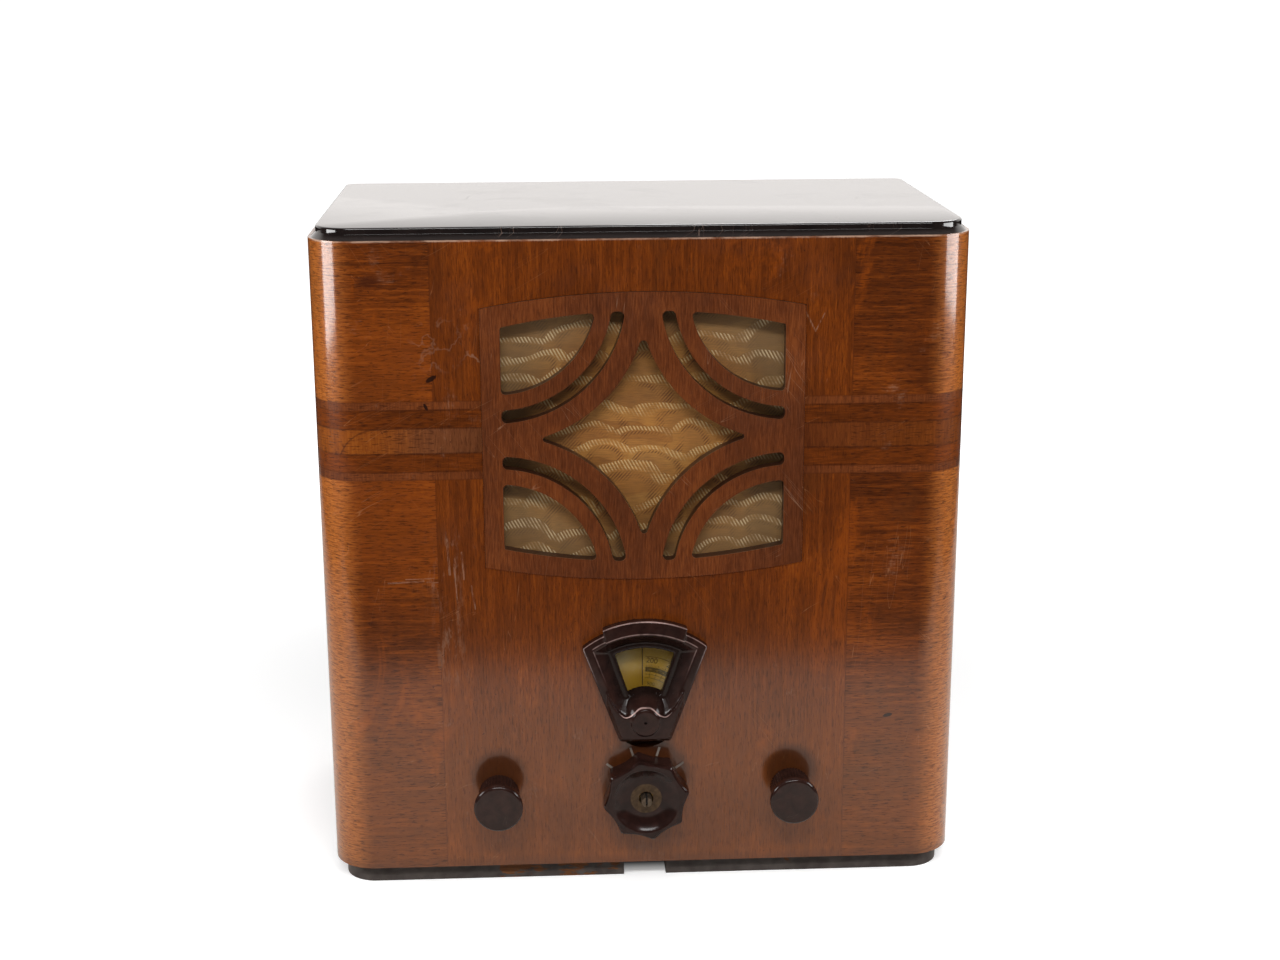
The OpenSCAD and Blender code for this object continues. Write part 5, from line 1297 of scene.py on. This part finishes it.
# %% Round knobs
KNOB_R, KNOB_BODY_R, KNOB_OUT, KNOB_DISC = 14.2, 12.0, 24.0, 5.5
EDGE_ROUND, REAR_BEVEL, DOME = 1.9, 0.9, 0.7
RIBS, RIB_STEPS = 40, (0.0, 0.18, 0.5, 0.18)  # how deep each quarter of a rib lies


def make_round_knob():
    rear = -KNOB_OUT + KNOB_DISC
    rim = [(KNOB_R - EDGE_ROUND + EDGE_ROUND * math.cos(a),
            -KNOB_OUT + EDGE_ROUND + DOME - EDGE_ROUND * math.sin(a))
           for a in [math.radians(90 - 10 * i) for i in range(10)]]
    face = [(r, -KNOB_OUT + DOME * (r / (KNOB_R - EDGE_ROUND)) ** 2) for r in (0, 3, 6, 9, 11)]
    profile = face + rim + [(KNOB_R, rear - REAR_BEVEL), (KNOB_R - REAR_BEVEL, rear), (0, rear)]
    knob = lathed("tone_knob_moulding", profile, KNOB_X, KNOB_Z, 128)
    ribs = []
    for i in range(RIBS * len(RIB_STEPS)):
        radius = KNOB_BODY_R - RIB_STEPS[i % len(RIB_STEPS)]
        angle = 2 * math.pi * i / (RIBS * len(RIB_STEPS))
        ribs.append((KNOB_X + radius * math.cos(angle), KNOB_Z + radius * math.sin(angle)))
    combine(knob, "UNION", slab("ribbed_body", ribs, rear - 1, KNOB_HIGH.y / MM - FRONT))
    smooth(knob, 32)
    return knob


def copy_moved(piece, name, x, z=0.0):
    """A copy with a mesh of its own, moved in edit mode."""
    begin()
    twin = piece.copy()
    twin.data = piece.data.copy()
    named(name, twin)
    bpy.context.scene.collection.objects.link(twin)
    edit(twin)
    bpy.ops.transform.translate(value=(x * MM, 0, z * MM))
    begin(twin)
    return twin


tone_knob = make_round_knob()
volume_knob = copy_moved(tone_knob, "volume_knob_moulding", -2 * KNOB_X)
take_place(tone_knob, "tone_control", "tone_knob", BROWN_RESIN)
take_place(volume_knob, "volume_control", "volume_knob", BROWN_RESIN)

# %% [markdown]
# ## The eight-pointed wave-change knob
# Seen from the front this knob is an octagon with hollow sides. Its outline is a closed chain of arcs that
# bow inwards, and the knob is a skin through five such rings. The middle is dished like a bowl: a turned
# cutter with a curved wall, because the lower wall catches a bright light. The hub ring at the bottom lies
# flush and is drawn in the finish, and the slotted end of the tuning spindle sticks out of its bore.

# %% Wave-change knob
WAVE_TIP_R, WAVE_SIDE_R, WAVE_OUT, WAVE_REST = 26.0, 22.5, 16.0, math.radians(-54.7)
DISH_R, DISH_FOOT_R, DISH_DEPTH, DISH_STEPS, BORE_R, REAR_BORE_R = 19.0, 9.9, 4.1, 13, 4.3, 4.52
POINTS, SIDE_STEPS = 8, 24
WAVE_RINGS = ((0.985, 0.985, -1.0), (1.0, 1.0, -WAVE_OUT + 3.4), (0.985, 0.99, -WAVE_OUT + 1.2),
              (0.955, 0.97, -WAVE_OUT + 0.35), (0.92, 0.945, -WAVE_OUT))  # share of tip and side, and depth


def octagon(tip_share, side_share):
    """The outline with hollow sides; its points are rounded slightly."""
    tip, sector = WAVE_TIP_R * tip_share, 2 * math.pi / POINTS
    bow = tip * math.cos(sector / 2) - WAVE_SIDE_R * side_share
    points = []
    for i in range(POINTS * SIDE_STEPS):
        share = i % SIDE_STEPS / SIDE_STEPS
        across = abs(2 * share - 1)
        flat = math.cos(sector / 2) / math.cos((share - 0.5) * sector)
        radius = tip * flat - bow * (1 - across ** 2) - 0.5 * across ** 12
        angle = math.pi / 2 - WAVE_REST + (i // SIDE_STEPS + share) * sector
        points.append((radius * math.cos(angle), WAVE_MID + radius * math.sin(angle)))
    return points


def loft(name, rings):
    """A skin through rings of equally many points, given in metres, closed at both ends."""
    piece = polygon(name, rings[0])
    edit(piece, "FACE")
    for old, new in zip(rings, rings[1:]):
        bpy.ops.mesh.extrude_region_move()
        bpy.ops.object.mode_set(mode="OBJECT")
        spots = [Vector(point) for point in old]
        for vertex in piece.data.vertices:
            if vertex.select:
                vertex.co = new[min(range(len(spots)), key=lambda i: (spots[i] - vertex.co).length_squared)]
        bpy.ops.object.mode_set(mode="EDIT")
    outward(piece)
    return piece


def make_wave_knob():
    rings = [upright_ring(octagon(tip, side), depth) for tip, side, depth in WAVE_RINGS]
    knob = loft("wave_knob_moulding", rings)
    above, floor = -WAVE_OUT - 1, -WAVE_OUT + DISH_DEPTH
    dish = [(0, above), (DISH_R + 1.9, above), (DISH_R + 1.0, -WAVE_OUT - 0.02),
            (DISH_R + 0.5, -WAVE_OUT + 0.16)]
    for i in range(DISH_STEPS + 1):
        share = 1 - i / DISH_STEPS
        dish.append((DISH_FOOT_R + (DISH_R - DISH_FOOT_R) * share, floor - 0.05 - 3.6 * share ** 2))
    dish.append((0, floor - 0.1))
    bore = [(0, above), (BORE_R, above), (BORE_R, -4.9), (REAR_BORE_R, -4.8), (REAR_BORE_R, 0.5), (0, 0.5)]
    combine(knob, "DIFFERENCE", lathed("dish", dish, 0, WAVE_MID, 128))
    combine(knob, "DIFFERENCE", lathed("bore", bore, 0, WAVE_MID, 96))
    smooth(knob, 24)
    return knob


wave_knob = make_wave_knob()
take_place(wave_knob, "wave_change", "wave_knob", WAVE_RESIN)

# %% [markdown]
# ## The back's screws
# Six round-headed wood screws hold the pressed board. A head is a low dome with a straight slot. One screw is
# turned from its profile and slotted; the others are copies, each moved to its hole and turned a little in
# edit mode, because nobody lines up the slots on the back of a receiver.

# %% Back screws
SCREW_LOW, SCREW_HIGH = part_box("back_screws")
SCREW_HEAD_R, SCREW_SHANK_R, SCREW_HEAD_H = 3.5, 1.5, 1.5
SLOT_HALF_L, SLOT_HALF_W, SLOT_DEPTH, SCREW_TURN = 4, 0.4, 0.8, 0.7


def make_screws():
    tail, end = (SCREW_LOW.y - FRONT_Y) / MM, (SCREW_HIGH.y - FRONT_Y) / MM
    left, right = SCREW_LOW.x / MM + SCREW_HEAD_R, SCREW_HIGH.x / MM - SCREW_HEAD_R
    low, high = SCREW_LOW.z / MM + SCREW_HEAD_R, SCREW_HIGH.z / MM - SCREW_HEAD_R
    seat = end - SCREW_HEAD_H
    profile = [(0, tail), (SCREW_SHANK_R, tail + 1), (SCREW_SHANK_R, seat), (SCREW_HEAD_R, seat),
               (3.4, seat + 0.45), (2.9, seat + 0.95), (1.9, seat + 1.35), (0, end)]
    first = lathed("back_cover_screws", profile, left, low, 32)
    corners = ((-1, -1), (1, -1), (1, 1), (-1, 1))
    slot = [(left + sx * SLOT_HALF_L, low + sz * SLOT_HALF_W) for sx, sz in corners]
    combine(first, "DIFFERENCE", slab("slot", slot, end - SLOT_DEPTH, end + 1))
    screws = [first]
    places = [(x, z) for x in (left, right) for z in (low, (low + high) / 2, high)]
    for i, (x, z) in enumerate(places[1:]):
        twin = copy_moved(first, "screw_" + str(i), x - left, z - low)
        edit(twin)
        bpy.ops.transform.rotate(value=SCREW_TURN * (i + 1), orient_axis="Y",
                                 center_override=(x * MM, 0, z * MM))
        screws.append(twin)
    begin(*screws)
    bpy.ops.object.join()
    smooth(first, 35)
    return first


screws = make_screws()
take_place(screws, "cabinet", "back_screws", STEEL)

# %% [markdown]
# ## The numbers on the dial
# Plain wavelength figures stand on the scale in two rows, upright where they pass the pointer. Each figure
# is set as text, made a mesh, and only then turned to its place, so that nothing of the text object remains.

# %% Dial numbers
NUMBER_ROWS = ((31.0, 4.6, range(200, 600, 50), 9),
               (16.6, 3.2, (900, 1200, 1500, 1800, 2000), 14))  # radius, size, figures and first angle
LAST_ANGLE, NUMBER_GAP = 172, 0.05


def number_mesh(text, size, radius, degrees):
    begin()
    bpy.ops.object.text_add(location=(0, 0, 0))
    piece = bpy.context.object
    piece.data.body, piece.data.size = text, size * MM
    piece.data.align_x, piece.data.align_y = "CENTER", "CENTER"
    begin(piece)
    bpy.ops.object.convert(target="MESH")
    upright = Matrix.Rotation(math.pi / 2, 4, "X")
    outwards = Matrix.Translation((0, 0, radius * MM))
    turn = Matrix.Rotation(math.radians(degrees), 4, "Y")
    hub = Matrix.Translation((0, DIAL_LOW.y - NUMBER_GAP * MM, DIAL_Z))
    piece.data.transform(hub @ turn @ outwards @ upright)
    return piece


def make_numbers():
    pieces = []
    for radius, size, figures, start in NUMBER_ROWS:
        step = (LAST_ANGLE - start) / (len(figures) - 1)
        for i, figure in enumerate(figures):
            pieces.append(number_mesh(str(figure), size, radius, start + i * step))
    begin(*pieces)
    bpy.ops.object.join()
    return named("dial_numbers")


numbers = make_numbers()
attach(numbers, "dial_and_vanes")
dress(numbers, DIAL_INK)
print(numbers.name, "has", len(numbers.data.polygons), "faces")

# %% [markdown]
# ## The top with its moulded edge
# The top is a board with a moulding round its front and sides: a slope at the foot and an upright edge, both
# black. The arris between the edge and the top is rounded by a millimetre, and draws a bright line along the
# front. The piece is a skin through rings of the same plan outline, each a little smaller than the last.

# %% Top plate
TOP_LOW, TOP_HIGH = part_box("top_plate")
FRONT_ROUND, REAR_ROUND, TOP_INSET = 25, 4.8, 4.4
ARRIS = ((0.0, 1.3), (0.07, 0.8), (0.3, 0.38), (0.7, 0.1), (1.2, 0.0))  # further inset, drop below the top


def plan_ring(inset, rear_round, z):
    """The top's outline in plan, with large rounds in front and small ones at the back."""
    half, front, back, round_r = HALF_W - inset, FRONT + inset, TOP_HIGH.y / MM, FRONT_ROUND - inset
    outline = arc_points(half - round_r, front + round_r, round_r, 0, -90, 32)
    outline += arc_points(round_r - half, front + round_r, round_r, -90, -180, 32)
    outline += arc_points(rear_round - half, back - rear_round, rear_round, 180, 90, 8)
    outline += arc_points(half - rear_round, back - rear_round, rear_round, 90, 0, 8)
    return [(x * MM, y * MM, z) for x, y in outline]


def make_top():
    rings = [plan_ring(1.6, 0.4, TOP_LOW.z), plan_ring(4.35, 0.4, TOP_LOW.z + 3 * MM),
             plan_ring(TOP_INSET, REAR_ROUND, TOP_LOW.z + 3.1 * MM)]
    rings += [plan_ring(TOP_INSET + inset, REAR_ROUND, TOP_HIGH.z - drop * MM) for inset, drop in ARRIS]
    top = loft("moulded_top", rings)
    smooth(top, 30)
    return top


top = make_top()
take_place(top, "cabinet", "top_plate", BLACK_POLISH)

# %% [markdown]
# ## The studio
# The set stands on a wide white table in a pale room. Two things matter for its look. The table is white
# all round, and gives the black top and the rounded corners their pale reflections. In front it ends a
# third of a metre from the cabinet, so the front mirrors darkness, and a pale haze only near its foot. Right
# under the set the table lies in its shade, so the finish darkens it there. For the camera everything behind
# is plain white. The floor is diffuse, so it keeps the shadow; a little glow that only the camera sees lifts
# it to paper white.
#
# Four lamps light the room. A wide one hangs above and in front. Two low ones stand near the sides and draw
# the upright strips of light on the rounded corners. A weak one behind puts a soft light on the floor.

# %% Floor and room
FLOOR_EDGE_Y, FLOOR_SIZE = FRONT_Y - 0.36, 60
MIRRORED_TABLE, TABLE_SEEN, TABLE_LIT = (0.9, 0.84, 0.77, 1.0), (0.9, 0.9, 0.9, 1.0), (0.42, 0.42, 0.42, 1.0)
TABLE_DARK, ROOM_DARK = (0.03, 0.03, 0.03, 1.0), (0.008, 0.008, 0.008, 1.0)
ROOM_LIGHT, PLAIN_WHITE, WARM_WHITE = 0.26, (1, 1, 1, 1), (1, 0.96, 0.935, 1)
MIDDLE = (0.0, 0.0, 0.2)
LAMPS = (  # name, place, what it points at, width, height and watts
    ("key_from_above", (-0.06, -1.5, 1.62), MIDDLE, 1.35, 0.3, 24),
    ("near_light_left", (-0.62, -0.31, 0.345), (0, -0.3, 0.345), 0.32, 0.22, 2.4),
    ("near_light_right", (0.62, -0.28, 0.365), (0, -0.28, 0.365), 0.36, 0.22, 2.3),
    ("back_light", (0.5, 1.6, 1.4), MIDDLE, 0.9, 0.5, 11),
)


def ray_kinds(tree):
    """1 for a ray from the camera, and 1 for a ray that a mirror sent."""
    return [tree.value("LightPath", output=kind) for kind in ("Is Camera Ray", "Is Glossy Ray")]


def table_finish(tree):
    here = tree.value("TexCoord", output="Object")
    x, y, z = here.split()
    camera_ray, mirror_ray = ray_kinds(tree)
    past_set = highest(abs(x) - (BODY_HALF_W - 0.01), abs(y) - (-FRONT_Y - 0.008)).fade(-0.016, -0.001)
    in_front = y.fade(FLOOR_EDGE_Y - 0.05, FLOOR_EDGE_Y + 0.04, 1, 0)
    far_off = highest(abs(x).fade(0.72, 0.82), y.fade(0.6, 0.9))
    colour = layers(camera_ray.blend(TABLE_LIT, TABLE_SEEN), (mirror_ray, MIRRORED_TABLE),
                    (in_front * mirror_ray, ROOM_DARK), (far_off * mirror_ray, TABLE_DARK))
    glow = camera_ray * here.length().fade(0.3, 0.9, 0.34, 0.9) * past_set
    sockets = {"Base Color": past_set.blend(TABLE_DARK, colour), "Roughness": 0.9, "Specular IOR Level": 0.0,
               "Emission Color": PLAIN_WHITE, "Emission Strength": glow}
    return tree.value("BsdfPrincipled", sockets)


def add_floor():
    begin()
    bpy.ops.mesh.primitive_plane_add(size=FLOOR_SIZE, location=(0, 0, 0))
    floor = bpy.context.object
    floor.name = "studio_floor"
    dress(floor, new_finish("white table", table_finish))


def light_the_room():
    world = bpy.data.worlds.new("pale room")
    bpy.context.scene.world = world
    world.use_nodes = True
    world.node_tree.nodes.clear()
    tree = Tree(world.node_tree)
    ahead = tree.value("TexCoord", output="Generated").split()[1].fade(0.2, 0.5, 0.03, 1)
    camera_ray, mirror_ray = ray_kinds(tree)
    strength = highest((ahead - ROOM_LIGHT) * mirror_ray + ROOM_LIGHT, camera_ray)
    tint = mirror_ray.blend(PLAIN_WHITE, WARM_WHITE)
    tree.node("OutputWorld", {"Surface": tree.value("Background", {"Color": tint, "Strength": strength})})


def add_lamp(name, place, target, width, height, watts):
    data = bpy.data.lights.new(name, "AREA")
    data.shape, data.size, data.size_y, data.energy = "RECTANGLE", width, height, watts
    lamp = bpy.data.objects.new(name, data)
    bpy.context.scene.collection.objects.link(lamp)
    lamp.location = place
    lamp.rotation_euler = (Vector(target) - Vector(place)).to_track_quat("-Z", "Y").to_euler()
    lamp.visible_camera = False


add_floor()
light_the_room()
for lamp in LAMPS:
    add_lamp(*lamp)
bpy.context.scene.view_settings.view_transform = "Standard"
print("studio: floor edge for reflections at y", round(FLOOR_EDGE_Y, 3), "m, lamps", len(bpy.data.lights))
